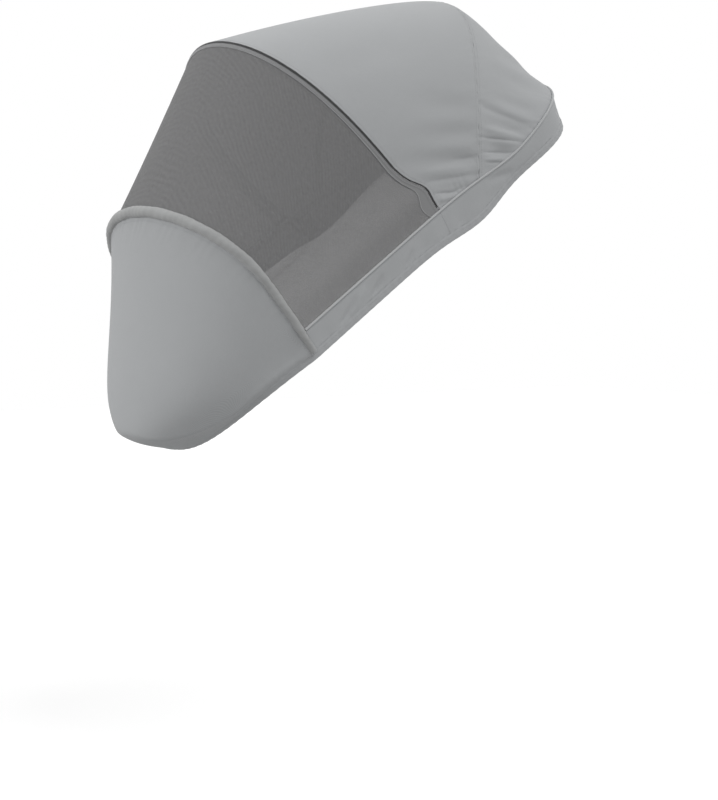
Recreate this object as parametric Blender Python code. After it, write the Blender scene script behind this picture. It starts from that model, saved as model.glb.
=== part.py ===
# Mosquito net cover for a reclined stroller seat: a cloth canopy, a zipped net window and a
# footmuff-like front panel, sewn to a skirt whose elastic hem grips the seat.
# X is the stroller's width (+X its left), -Y the foot end, +Z up. The origin lies on the centre
# plane, at the height of the hem's two side seams, where the cover is strapped to the seat.

import math

import bmesh
import bpy
import numpy as np
from mathutils import Matrix, Vector

# Driving sizes, in metres and degrees. S runs along the seat from the origin to the head end and
# N is square to the seat, so (x, s, n) is the seat's own frame.
RECLINE = 36.0                 # tilt of the seat edge above level
HALF_WIDTH = 0.185             # centre plane to the piped side seam
SEAM_HEIGHT = 0.043            # piped seam above the side seam's foot
SEAM_SAG = 0.009               # dip of the piped seam beside the rear bow
SEAM_SAG_S = 0.150
SEAM_SAG_REACH = 0.080
SEAM_HEAD_RISE = 0.008
HEM_HEIGHT = 0.0028            # hem line above the same foot, ahead of the straps
HEM_HEAD_HEIGHT = 0.0012       # hem line at the head end
HEM_DIP = 0.0105               # how far the straps pull the hem down
HEM_DIP_S = 0.058
HEM_DIP_REACH = 0.063
HEM_INSET = 0.004              # hem closer to the centre plane than the seam
HEM_HEAD_INSET = 0.010         # the same at the head end, where the skirt draws in under it

RIM_FOOT_S = 0.001             # canopy rim, which carries the zip
RIM_APEX_S = -0.059
RIM_APEX_N = 0.350
RIM_HALF = 0.179
RIM_LEG = 0.085                # straight run of the rim where the zip slider travels
RIM_POWER = 2.25
RIM_LEAN = 0.010               # how far that run leans towards the foot end

RIM_SLACK = 0.010              # slack of the rim's +X leg, and where along the leg it hangs
RIM_SLACK_UP = 0.033
RIM_SLACK_REACH = 0.020

FOLD_DEPTH = 0.0025            # shallow folds low on the canopy's sides
FOLD_PITCH = 0.036
FOLD_TOP = 0.120               # they are gone this far above the piped seam

CREST_FOOT_S = 0.069           # arch that the canopy is drawn towards between rim and bow
CREST_APEX_S = 0.232
CREST_APEX_N = 0.260
CREST_HALF = 0.192
CREST_LEG = 0.060
CREST_POWER = 2.45
CREST_PULL = 0.60               # how close the canopy comes to that arch
REAR_HOLLOW = 0.2              # how far the canopy draws in behind the bow at its sides
REAR_ARRIVAL = 0.17            # how long the rear panel rises straight from the piped seam

BOW_FOOT_S = 0.079             # seam over the canopy's rear bow
BOW_APEX_S = 0.276
BOW_APEX_N = 0.213
BOW_HALF = 0.186
BOW_LEG = 0.050
BOW_POWER = 2.0
BOW_LEAN = 0.024

REAR_FOOT_S = 0.150            # where the piped seam starts to round the head end
REAR_APEX_S = 0.325
REAR_POWER = 3.6
REAR_SWELL = 0.31              # how long the canopy keeps its direction behind the bow

FRONT_S = -0.258               # front panel's rim, at its feet
FRONT_APEX_S = -0.272
FRONT_APEX_N = 0.237
FRONT_HALF = 0.1745
FRONT_LEG = 0.068
FRONT_POWER = 1.9
FRONT_LEAN = -0.006            # its shoulders lie back towards the head end

FOOT_TIP_S = -0.401            # foot end of the front panel's hem
FOOT_HALF = 0.162
FOOT_N = -0.038
FOOT_POWER = 1.77
FOOT_FALL = 2.42               # how late the hem falls from the corners to that height
FOOT_TILT = 51.3               # how far the front panel leans out where it leaves its hem
FOOT_CURL = 1.18               # how late it reaches that lean on its way from a corner
FOOT_REACH = 0.338             # how far it keeps that direction, as a share of its depth
CORNER_REACH = 0.052           # the same at its two corners
FOOT_PULL = 2.2                # how hard that direction draws the panel towards the foot end
FRONT_SWELL = 0.087            # swell of the panel, as a share of its depth
FRONT_SWELL_PLACE = 0.484      # where on its way to the hem the swell sits

CLOTH = 0.0020                 # canopy, skirt and front panel cloth with its lining
NET = 0.0012
TAPE = 0.0006
GAP = 0.0003                   # clearance between pieces that touch
PIPING_RADIUS = 0.0016
SLEEVE_RADIUS = 0.0070         # padded rim sleeve at its crest
SLEEVE_FOOT_RADIUS = 0.0045
ROD_RADIUS = 0.0016
TEETH_HALF = 0.0022            # half width of the closed zip
TEETH_SPLIT = 0.0006           # half the space between the two rows of teeth
TEETH_DEPTH = 0.0018
TEETH_STATIONS = 73
STOP_LENGTH = 0.0035
TAPE_START = 0.0012            # tape edge from the middle of the zip
TAPE_WIDTH = 0.0110
BOW_CLEAR = 0.0005             # panel edges back from the bow seam, which bends over the bow
BINDING_WIDTH = 0.0120
BINDING_SLACK = 1.1            # the binding stands this much further inside at the seam itself
HEM_BAND = 0.0110
HEM_PLY = 0.0009
ELASTIC_THICKNESS = 0.0008
ELASTIC_WIDTH = 0.0065
ELASTIC_SPACE = 0.0006         # between the elastic and either ply of its casing

STRAP_S = 0.020                # middle of each frame strap along the seat
STRAP_WIDTH = 0.020
STRAP_THICKNESS = 0.0012
STRAP_CLEAR = 0.024            # frame tube that the strap goes round, across
STRAP_DEPTH = 0.026            # the same, along N
STRAP_CORNER = 0.007
STRAP_TOP_N = 0.040
STRAP_HINGE_SPACE = 0.0007     # bare fold between the strap and its tab
TAB_STRAP_LENGTH = 0.023
PATCH_THICKNESS = 0.0010
PATCH_LENGTH = 0.018

SLIDER_LENGTH = 0.0095
SLIDER_WIDTH = 0.0072
SLIDER_PLATE = 0.0009
SLIDER_POST = 0.0006
LUG = 0.0009
BAR_RADIUS = 0.0006
TAB_EYE = 0.0016               # outer radius of the pull tab's eye
TAB_EYE_WIDTH = 0.0024
TAB_LENGTH = 0.024
TAB_WIDTH = 0.0062
TAB_THICKNESS = 0.0012

ROD_INSET = 0.003              # rod end inside the sleeve's end
INSIDE = np.array([0.0, -0.05, 0.10])
COLUMNS = 49                   # points across each arched panel
TOP_ROWS = 11                  # rows of points along each of them
REAR_ROWS = 12
NET_ROWS = 7
FOOT_CROWDING = 0.5            # how much closer their points stand at the feet
PIPING_STATIONS = 113
SLEEVE_STATIONS = 45
HEM_STATIONS = 160
TURN = math.radians(RECLINE)


def clear_scene():
    for thing in list(bpy.data.objects):
        bpy.data.objects.remove(thing, do_unlink=True)


def to_row(points):
    """Seat coordinates (x, s, n) as upright ones (x, y, z)."""
    points = np.asarray(points, dtype=float)
    x, s, n = points[..., 0], points[..., 1], points[..., 2]
    y = s * math.cos(TURN) - n * math.sin(TURN)
    z = s * math.sin(TURN) + n * math.cos(TURN)
    return np.stack([x, y, z], axis=-1)


def lengths_along(line):
    """Distance of each point of a line from its first point."""
    steps = np.linalg.norm(np.diff(line, axis=0), axis=1)
    return np.concatenate([[0.0], np.cumsum(steps)])


def points_at(line, stations):
    """Points of a line at the given distances from its start."""
    run = lengths_along(line)
    return np.stack([np.interp(stations, run, line[:, k]) for k in range(3)], axis=1)


def spaced(line, count):
    """The same line as evenly spaced points."""
    return points_at(line, np.linspace(0.0, lengths_along(line)[-1], count))


def spread(line, count):
    """The same line as points that stand closer together towards its feet."""
    share = np.linspace(0.0, 1.0, count)
    share -= FOOT_CROWDING * np.sin(2 * math.pi * share) / (2 * math.pi)
    return points_at(line, lengths_along(line)[-1] * share)


def shortened(grid, near=0.0, far=0.0):
    """A grid whose lines along its first axis lose a length at either end."""
    near = np.broadcast_to(near, grid.shape[1])
    far = np.broadcast_to(far, grid.shape[1])
    result = np.empty_like(grid)
    for column in range(grid.shape[1]):
        line = grid[:, column]
        run = lengths_along(line)
        kept = run[-1] - near[column] - far[column]
        result[:, column] = points_at(line, near[column] + run * kept / run[-1])
    return result


def turned(grid):
    """The same grid with its rows and columns exchanged."""
    return grid.transpose(1, 0, 2)


def trimmed(grid, start=0.0, end=0.0, side=0.0):
    """A panel's grid cut back at its first and last rows and at both its sides."""
    return turned(shortened(turned(shortened(grid, start, end)), side, side))


def distance_to(points, curve):
    """Distance of each point from a curve of straight pieces."""
    start, step = curve[:-1], np.diff(curve, axis=0)
    away = points[:, None] - start
    share = np.sum(away * step, axis=2) / np.sum(step * step, axis=1)
    nearest = step * np.clip(share, 0.0, 1.0)[:, :, None]
    return np.linalg.norm(away - nearest, axis=2).min(axis=1)


def run_to_clear(grid, curve, clear):
    """Distance along each column, from its first row, at which it comes clear of a curve."""
    trials = np.linspace(0.0, 5.0, 51)
    runs = []
    for line, wanted in zip(turned(grid), np.broadcast_to(clear, grid.shape[1])):
        near = distance_to(points_at(line, trials * wanted), curve) < wanted
        first_clear = int(np.max(np.nonzero(near)[0], initial=-1)) + 1
        runs.append(trials[min(first_clear, len(trials) - 1)] * wanted)
    return np.array(runs)


def clear_of(grid, curve, clear, first=False, last=False):
    """A grid cut back at its first or last row, or both, until it clears a curve."""
    near = run_to_clear(grid, curve, clear) if first else 0.0
    far = run_to_clear(grid[::-1], curve, clear) if last else 0.0
    return shortened(grid, near, far)


def sides_clear_of(grid, curve, clear):
    return turned(clear_of(turned(grid), curve, clear, first=True, last=True))


def outward_normals(grid):
    """Unit normals of a grid, on the side away from the inside of the cover."""
    along = np.gradient(grid, axis=0)
    across = np.gradient(grid, axis=1)
    normal = np.cross(across, along)
    normal /= np.linalg.norm(normal, axis=-1, keepdims=True)
    side = np.sum(normal * (grid - INSIDE), axis=-1).mean()
    return normal * np.sign(side)


def material(name, colour, roughness, metallic=0.0, alpha=1.0):
    """A plain Principled material, made once for each name."""
    found = bpy.data.materials.get(name)
    if found:
        return found
    made = bpy.data.materials.new(name)
    made.use_nodes = True
    shader = made.node_tree.nodes["Principled BSDF"]
    shader.inputs["Base Color"].default_value = (*colour, 1.0)
    shader.inputs["Roughness"].default_value = roughness
    shader.inputs["Metallic"].default_value = metallic
    shader.inputs["Alpha"].default_value = alpha
    return made


def outward_facing(mesh):
    """Turn every face of a closed mesh outwards."""
    work = bmesh.new()
    work.from_mesh(mesh)
    bmesh.ops.recalc_face_normals(work, faces=work.faces)
    work.to_mesh(mesh)
    work.free()


def add_object(name, vertices, faces, finish, smooth=True, parent=None):
    """A mesh object from points and faces in the parent's frame, or the world's."""
    mesh = bpy.data.meshes.new(name)
    mesh.from_pydata([tuple(v) for v in vertices], [], faces)
    mesh.validate()
    if smooth:
        mesh.shade_smooth()
        mesh.set_sharp_from_angle(angle=math.radians(40))
    mesh.materials.append(finish)
    made = bpy.data.objects.new(name, mesh)
    bpy.context.scene.collection.objects.link(made)
    made.parent = parent
    return made


def add_panel(name, grid, thickness, finish):
    """A cloth panel: a grid in seat coordinates, thickened evenly to both sides."""
    rows, columns = grid.shape[:2]
    faces = []
    for r in range(rows - 1):
        for c in range(columns - 1):
            a = r * columns + c
            faces.append((a, a + 1, a + columns + 1, a + columns))
    made = add_object(name, to_row(grid).reshape(-1, 3), faces, finish)
    shell = made.modifiers.new("Thickness", "SOLIDIFY")
    shell.thickness = thickness
    shell.offset = 0.0
    shell.use_even_offset = True
    return made


def add_sweep(name, rings, finish, closed=False):
    """A solid through rings of points, capped at both ends or closed into a loop."""
    count, around = rings.shape[:2]
    faces = []
    for r in range(count if closed else count - 1):
        for c in range(around):
            a, b = r * around + c, r * around + (c + 1) % around
            ahead = ((r + 1) % count - r) * around
            faces.append((a, b, b + ahead, a + ahead))
    if not closed:
        faces.append(tuple(reversed(range(around))))
        faces.append(tuple(range((count - 1) * around, count * around)))
    made = add_object(name, to_row(rings).reshape(-1, 3), faces, finish)
    outward_facing(made.data)
    return made


def add_hollow_tube(name, outer, inner, finish):
    """A tube with a bore, from outer and inner rings of equal count."""
    count, around = outer.shape[:2]
    points = np.concatenate([outer.reshape(-1, 3), inner.reshape(-1, 3)])
    shift = count * around
    faces = []
    for r in range(count - 1):
        for c in range(around):
            a, b = r * around + c, r * around + (c + 1) % around
            faces.append((a, b, b + around, a + around))
            faces.append((b + shift, a + shift, a + around + shift, b + around + shift))
    for c in range(around):
        a, b = c, (c + 1) % around
        faces.append((b, a, a + shift, b + shift))
        top = (count - 1) * around
        faces.append((top + a, top + b, top + b + shift, top + a + shift))
    made = add_object(name, to_row(points), faces, finish)
    outward_facing(made.data)
    return made


def arch(foot_s, apex_s, apex_n, foot_half, half, leg, power, lean=0.0,
         straight=False):
    """An inverted U in seat coordinates, from its +X foot over the crest to its -X foot.

    Two legs carry a superellipse. They lean towards the foot end, and the lean fades out again
    towards the crest. Straight legs lean evenly from their feet; others bow out.
    """
    foot_n = float(seam_height(foot_s))
    rise = math.hypot(apex_s - foot_s, apex_n - foot_n)
    angle = np.linspace(0.0, math.pi, 241)
    legs = np.linspace(0.0, 1.0, 20, endpoint=False)
    leg_x = foot_half + (half - foot_half) * legs
    x = np.concatenate([leg_x, half * np.cos(angle), -leg_x[::-1]])
    curve_up = leg + (rise - leg) * np.clip(np.sin(angle), 0.0, 1.0) ** (2 / power)
    up = np.concatenate([leg * legs, curve_up, (leg * legs)[::-1]])
    above = np.clip((up - leg) / (rise - leg), 0.0, 1.0)
    if straight:
        shift = lean * np.clip(up / leg, 0.0, 1.0) * np.cos(0.5 * math.pi * above)
    else:
        shift = lean * np.sin(math.pi * up / rise)
    along_s, along_n = (apex_s - foot_s) / rise, (apex_n - foot_n) / rise
    s = foot_s + along_s * up - along_n * shift
    n = foot_n + along_n * up + along_s * shift
    return np.stack([x, s, n], axis=1)


def canopy_rim():
    """The zipped rim. Its +X leg hangs slack towards the head end, and the other is straight."""
    line = arch(RIM_FOOT_S, RIM_APEX_S, RIM_APEX_N, HALF_WIDTH, RIM_HALF, RIM_LEG,
                RIM_POWER, RIM_LEAN, straight=True)
    up = line[:, 2] - line[0, 2]
    slack = RIM_SLACK * np.exp(-((up - RIM_SLACK_UP) / RIM_SLACK_REACH) ** 2)
    slack[line[:, 0] < 0] = 0.0
    return line + slack[:, None] * rim_across()


def canopy_crest():
    return arch(CREST_FOOT_S, CREST_APEX_S, CREST_APEX_N, HALF_WIDTH, CREST_HALF, CREST_LEG,
                CREST_POWER)


def canopy_bow():
    return arch(BOW_FOOT_S, BOW_APEX_S, BOW_APEX_N, HALF_WIDTH, BOW_HALF, BOW_LEG, BOW_POWER,
                BOW_LEAN)


def front_rim():
    """Middle line of the front panel's rim, above the piped seam."""
    return arch(FRONT_S, FRONT_APEX_S, FRONT_APEX_N, HALF_WIDTH, FRONT_HALF, FRONT_LEG,
                FRONT_POWER, FRONT_LEAN)


def seam_height(s):
    """Height of the piped seam: it sags behind the canopy's foot and rises at the head end."""
    s = np.asarray(s, dtype=float)
    sag = SEAM_SAG * np.exp(-((s - SEAM_SAG_S) / SEAM_SAG_REACH) ** 2)
    rise = SEAM_HEAD_RISE * np.clip((s - REAR_FOOT_S) / (REAR_APEX_S - REAR_FOOT_S), 0.0, 1.0)
    return SEAM_HEIGHT - sag + rise


def round_head(half, foot_s, apex_s, height):
    """The seam or hem round the head end, from its +X foot to its -X foot, at height(s)."""
    angle = np.linspace(0.0, math.pi, 181)
    x = half * np.cos(angle)
    s = foot_s + (apex_s - foot_s) * np.clip(np.sin(angle), 0.0, 1.0) ** (2 / REAR_POWER)
    return np.stack([x, s, height(s)], axis=1)


def hem_height(s):
    """Height of the hem line: lower at the head end, and pulled down where the straps hold it."""
    share = 0.5 + 0.5 * np.tanh(np.asarray(s, dtype=float) / HEM_DIP_REACH)
    level = HEM_HEIGHT + (HEM_HEAD_HEIGHT - HEM_HEIGHT) * share
    return level - HEM_DIP * np.exp(-((s - HEM_DIP_S) / HEM_DIP_REACH) ** 2)


def mirrored(line):
    """The same line on the other side, still running from +X to -X where it did."""
    return (line * [-1, 1, 1])[::-1]


def side_line(half, start_s, end_s, height):
    """A straight run along the seat at the +X side, at height(s)."""
    s = np.linspace(start_s, end_s, 41)
    return np.stack([np.full_like(s, half), s, height(s)], axis=1)


def seam_line(start_s):
    """The piped seam from a start on the +X side, round the head end, to the -X side."""
    side = side_line(HALF_WIDTH, start_s, REAR_FOOT_S, seam_height)
    head = round_head(HALF_WIDTH, REAR_FOOT_S, REAR_APEX_S, seam_height)
    return np.concatenate([side[:-1], head, mirrored(side)[1:]])


def hem_line(start_s):
    """The hem below that seam."""
    half = HALF_WIDTH - HEM_INSET
    side = side_line(half, start_s, REAR_FOOT_S, hem_height)
    head = round_head(half, REAR_FOOT_S, REAR_APEX_S - HEM_HEAD_INSET, hem_height)
    return np.concatenate([side[:-1], head, mirrored(side)[1:]])


def foot_line():
    """Hem of the front panel, from its +X corner round the foot end to its -X corner."""
    angle = np.linspace(0.0, math.pi, 181)
    round_ = np.clip(np.sin(angle), 0.0, 1.0)
    half = (HALF_WIDTH - HEM_INSET) * (1 - round_) + FOOT_HALF * round_
    x = half * np.cos(angle)
    s = FRONT_S - (FRONT_S - FOOT_TIP_S) * round_ ** (2 / FOOT_POWER)
    fall = round_ ** FOOT_FALL
    n = hem_height(FRONT_S) * (1 - fall) + FOOT_N * fall
    return np.stack([x, s, n], axis=1)


def drawn_over(first, middle, last, rows):
    """A surface between two arches, drawn towards a third one that it doesn't reach."""
    v = np.linspace(0.0, 1.0, rows)[:, None, None]
    weights = (1 - v) ** 2, 2 * CREST_PULL * v * (1 - v), v ** 2
    total = weights[0] + weights[1] + weights[2]
    return (first * weights[0] + middle * weights[1] + last * weights[2]) / total


def ruled(first, last, rows):
    """A surface of straight lines between two curves of equal count."""
    v = np.linspace(0.0, 1.0, rows)[:, None, None]
    return first * (1 - v) + last * v


def bezier(a, b, c, d, rows, pull=1.0):
    """A surface of cubic curves, one for each column, drawn harder to c where pull is over 1."""
    v = np.linspace(0.0, 1.0, rows)[:, None, None]
    weights = (1 - v) ** 3, 3 * v * (1 - v) ** 2, pull * 3 * v ** 2 * (1 - v), v ** 3
    return sum(point * weight for point, weight in zip((a, b, c, d), weights)) / sum(weights)


def folded(grid, slope):
    """A panel with its shallow folds, which run level or fall towards the head end.

    They are deepest low on its sides, and die out towards its edges and its crest.
    """
    rows, columns = grid.shape[:2]
    along = np.sin(np.linspace(0.0, math.pi, rows))[:, None] ** 2
    across = np.sin(np.linspace(0.0, math.pi, columns))[None, :]
    low = np.clip(1 - (grid[..., 2] - SEAM_HEIGHT) / FOLD_TOP, 0.0, 1.0)
    place = to_row(grid)
    wave = np.sin(2 * math.pi * (place[..., 2] + place[..., 1] * slope) / FOLD_PITCH)
    depth = FOLD_DEPTH * wave * along * np.minimum(1.0, 5 * across) * low
    return grid + outward_normals(grid) * depth[..., None]


def canopy_surface():
    surface = drawn_over(spread(canopy_rim(), COLUMNS), spread(canopy_crest(), COLUMNS),
                         spread(canopy_bow(), COLUMNS), TOP_ROWS)
    return folded(surface, -0.1)


def rear_surface():
    """The canopy behind its bow, which leaves the bow as the canopy arrives there."""
    bow = spread(canopy_bow(), COLUMNS)
    crest = spread(canopy_crest(), COLUMNS)
    head = round_head(HALF_WIDTH, REAR_FOOT_S, REAR_APEX_S, seam_height)
    seam = spread(head, COLUMNS)
    span = np.linalg.norm(seam - bow, axis=1, keepdims=True)
    leave = (bow - crest) * [REAR_HOLLOW, 1, 1]
    leave /= np.linalg.norm(leave, axis=1, keepdims=True)
    arrive = seam + (bow - seam) * REAR_ARRIVAL
    surface = bezier(bow, bow + leave * span * REAR_SWELL, arrive, seam, REAR_ROWS)
    return folded(surface, 0.25)


def net_surface():
    """The net, drawn straight from the canopy rim to the front panel's rim."""
    return ruled(spread(canopy_rim(), COLUMNS), spread(front_rim(), COLUMNS), NET_ROWS)


def sleeve_line():
    """Middle of the front panel's rim sleeve, whose feet stand on the hem."""
    foot_n = hem_height(FRONT_S) + HEM_BAND + 2 * GAP
    foot = np.array([[HALF_WIDTH, FRONT_S, foot_n]])
    return np.concatenate([foot, front_rim(), mirrored(foot)])


def sleeve_radius(line):
    """Radius of the sleeve at each point of its middle line: full at the crest, slim below."""
    share = lengths_along(line) / lengths_along(line)[-1]
    return SLEEVE_FOOT_RADIUS + (SLEEVE_RADIUS - SLEEVE_FOOT_RADIUS) * np.sin(math.pi * share)


def seam_start():
    """Where the piping and the skirt begin, behind the sleeve's foot."""
    return FRONT_S + sleeve_radius(sleeve_line())[1] + 2 * GAP


def hem_lean(angle):
    """Direction in which the front panel leaves its hem, at angles round the foot end.

    It turns from upright at the corners to nearly flat at the tip. Its length is the panel's
    reach in that direction, as a share of its depth.
    """
    run = lengths_along(foot_line())
    share = np.interp(angle, np.linspace(0.0, math.pi, len(run)), run / run[-1])
    curl = np.clip(np.sin(math.pi * share), 0.0, 1.0)[:, None] ** FOOT_CURL
    upright = math.atan2(HEM_INSET, SEAM_HEIGHT - HEM_HEIGHT)
    tilt = upright + (math.radians(FOOT_TILT) - upright) * curl
    outward = np.stack([np.cos(angle), -np.sin(angle), np.zeros(len(angle))], axis=1)
    direction = outward * np.sin(tilt) + np.array([0.0, 0.0, 1.0]) * np.cos(tilt)
    return direction * (CORNER_REACH + (FOOT_REACH - CORNER_REACH) * curl)


def front_surface(rows, columns):
    """The front panel, from its rim down and round to the hem under the seat."""
    rim = spaced(sleeve_line(), columns)
    hem = spaced(foot_line(), columns)
    run = lengths_along(foot_line())
    angle = np.interp(np.linspace(0.0, run[-1], columns), run,
                      np.linspace(0.0, math.pi, len(run)))
    outward = np.stack([np.cos(angle), -np.sin(angle), np.zeros(columns)], axis=1)
    depth = np.linalg.norm(hem - rim, axis=1, keepdims=True)
    swollen = rim + (hem - rim) * FRONT_SWELL_PLACE + outward * depth * FRONT_SWELL
    return bezier(rim, swollen, hem + hem_lean(angle) * depth, hem, rows, FOOT_PULL)


def skirt_surface(start_s, end_s, rows, columns):
    """The skirt along one side, from the piped seam down to the hem."""
    seam = side_line(HALF_WIDTH, start_s, end_s, seam_height)
    hem = side_line(HALF_WIDTH - HEM_INSET, start_s, end_s, hem_height)
    return ruled(spaced(seam, columns), spaced(hem, columns), rows)


def head_skirt_surface(rows, columns):
    return ruled(spaced(seam_line(RIM_FOOT_S), columns), spaced(hem_line(RIM_FOOT_S), columns),
                 rows)


def band_under(grid, start, width, thickness):
    """The strip of a panel's grid between two distances from its first row, moved inside it."""
    length = np.array([lengths_along(grid[:, c])[-1] for c in range(grid.shape[1])])
    edges = shortened(grid, start, length - start - width)[[0, -1]]
    return edges - outward_normals(edges) * (CLOTH / 2 + GAP + thickness / 2)


def cross_frames(line, lengthwise):
    """Along, outward and lengthwise directions at each point of a rim line."""
    along = np.gradient(line, axis=0)
    along /= np.linalg.norm(along, axis=1, keepdims=True)
    outward = np.cross(lengthwise, along)
    outward /= np.linalg.norm(outward, axis=1, keepdims=True)
    return along, outward, np.cross(along, outward)


def rim_across():
    """Direction square to the canopy rim's plane, towards the head end."""
    s, n = RIM_APEX_S - RIM_FOOT_S, RIM_APEX_N - float(seam_height(RIM_FOOT_S))
    return np.array([0.0, n, -s]) / math.hypot(s, n)


def stop_start(side):
    """Run of the rim from its foot to the lower end of a zip stop, clear of the piping."""
    _, upward, _, headward = rim_leg(side)
    return (PIPING_RADIUS + GAP + TEETH_HALF * abs(headward[2])) / upward[2]


def add_teeth_row(name, side, finish):
    """One half of the closed zip: a bar along the rim, on its net side or its canopy side."""
    full = canopy_rim()
    total = lengths_along(full)[-1]
    first = stop_start(1) + STOP_LENGTH + GAP
    last = total - stop_start(-1) - STOP_LENGTH - GAP
    closed = points_at(full, np.linspace(first, last, 10 * TEETH_STATIONS))
    line = spread(closed, TEETH_STATIONS)
    _, outward, _ = cross_frames(line, rim_across())
    across = rim_across() * side
    half = TEETH_DEPTH / 2
    rings = np.stack([
        line + across * TEETH_SPLIT - outward * half,
        line + across * TEETH_HALF - outward * half,
        line + across * TEETH_HALF + outward * half,
        line + across * TEETH_SPLIT + outward * half], axis=1)
    add_sweep(name, rings, finish)


def rim_leg(side):
    """Foot of the rim on a side (+1 or -1), with its upward, outward and headward directions."""
    line = canopy_rim()[::side]
    upward = line[3] - line[0]
    upward /= np.linalg.norm(upward)
    headward = rim_across()
    outward = np.cross(headward, upward) * side
    outward /= np.linalg.norm(outward)
    return line[0], upward, outward, np.cross(outward, upward) * -side


def add_box(name, centre, axes, sizes, finish, bevel=0.0):
    """A box in seat coordinates, with its own three directions and full sizes."""
    centre = np.asarray(centre, dtype=float)
    corners = []
    for a in (-0.5, 0.5):
        for b in (-0.5, 0.5):
            for c in (-0.5, 0.5):
                corners.append(centre + axes[0] * sizes[0] * a + axes[1] * sizes[1] * b
                               + axes[2] * sizes[2] * c)
    faces = [(0, 1, 3, 2), (4, 6, 7, 5), (0, 4, 5, 1), (2, 3, 7, 6), (0, 2, 6, 4), (1, 5, 7, 3)]
    made = add_object(name, to_row(np.array(corners)), faces, finish, smooth=False)
    outward_facing(made.data)
    if bevel:
        round_ = made.modifiers.new("Edges", "BEVEL")
        round_.width = bevel
        round_.segments = 2
    return made


def add_plate(name, centre, axes, outline, thickness, finish):
    """A flat plate: an outline on the first two directions, thickened along the third."""
    centre = np.asarray(centre, dtype=float)
    flat = centre + outline[:, :1] * axes[0] + outline[:, 1:] * axes[1]
    half = axes[2] * thickness / 2
    return add_sweep(name, np.stack([flat - half, flat + half]), finish)


def rounded_outline(points, radius, steps=4):
    """Corners of a closed outline rounded by short quadratic curves."""
    points = np.asarray(points, dtype=float)
    result = []
    for k, corner in enumerate(points):
        before = points[k - 1] - corner
        after = points[(k + 1) % len(points)] - corner
        start = corner + before / np.linalg.norm(before) * radius
        end = corner + after / np.linalg.norm(after) * radius
        for share in np.linspace(0.0, 1.0, steps):
            result.append(start * (1 - share) ** 2 + corner * 2 * share * (1 - share)
                          + end * share ** 2)
    return np.array(result)


def joined(base, others):
    """Unite other solids into a base with exact Booleans, and keep them as hidden guides."""
    for other in others:
        unite = base.modifiers.new(other.name, "BOOLEAN")
        unite.operation = "UNION"
        unite.solver = "EXACT"
        unite.object = other
        other.hide_render = True
        other.display_type = "WIRE"


def put_origin(thing, seat_point):
    """Move an object's origin to a point of its joint's axis, leaving its shape in place."""
    place = Vector(to_row(np.asarray(seat_point, dtype=float)))
    thing.data.transform(Matrix.Translation(-place))
    thing.location = place


def build_panels(cloth, net):
    """The five cloth panels of the shell and its net window."""
    piping_clear = PIPING_RADIUS + GAP
    zip_clear = math.hypot(TEETH_HALF, TEETH_DEPTH / 2) + GAP
    seam = seam_line(FRONT_S)
    top = sides_clear_of(canopy_surface(), seam, piping_clear)
    top = clear_of(top, canopy_rim(), zip_clear, first=True)
    add_panel("canopy_top_panel", shortened(top, 0.0, BOW_CLEAR), CLOTH, cloth)

    rear = sides_clear_of(rear_surface(), seam, piping_clear)
    rear = clear_of(rear, seam, piping_clear, last=True)
    add_panel("canopy_rear_panel", shortened(rear, BOW_CLEAR), CLOTH, cloth)

    window = sides_clear_of(net_surface(), seam, piping_clear)
    window = clear_of(window, canopy_rim(), zip_clear, first=True)
    sleeve = sleeve_line()
    nearest = np.linalg.norm(window[-1][:, None] - sleeve, axis=2).argmin(axis=1)
    window = clear_of(window, sleeve, sleeve_radius(sleeve)[nearest] + 2 * GAP, last=True)
    add_panel("net_window", window, NET, net)

    front = front_surface(10, SLEEVE_STATIONS)[:, 1:-1]
    swell = sleeve_radius(spaced(sleeve, SLEEVE_STATIONS))[1:-1]
    front = clear_of(front, sleeve, swell + CLOTH / 4 + GAP, first=True)
    front = clear_of(front, foot_line(), HEM_BAND + CLOTH / 4 + GAP, last=True)
    add_panel("front_panel", front, CLOTH, cloth)

    lower_clear = HEM_BAND + 2 * GAP
    add_panel("rear_skirt",
              trimmed(head_skirt_surface(3, 65), piping_clear, lower_clear, GAP / 2), CLOTH, cloth)
    side = trimmed(skirt_surface(seam_start(), RIM_FOOT_S, 3, 19), piping_clear, lower_clear,
                   GAP / 2)
    add_panel("left_front_skirt", side, CLOTH, cloth)
    add_panel("right_front_skirt", (side * [-1, 1, 1])[:, ::-1], CLOTH, cloth)


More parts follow.
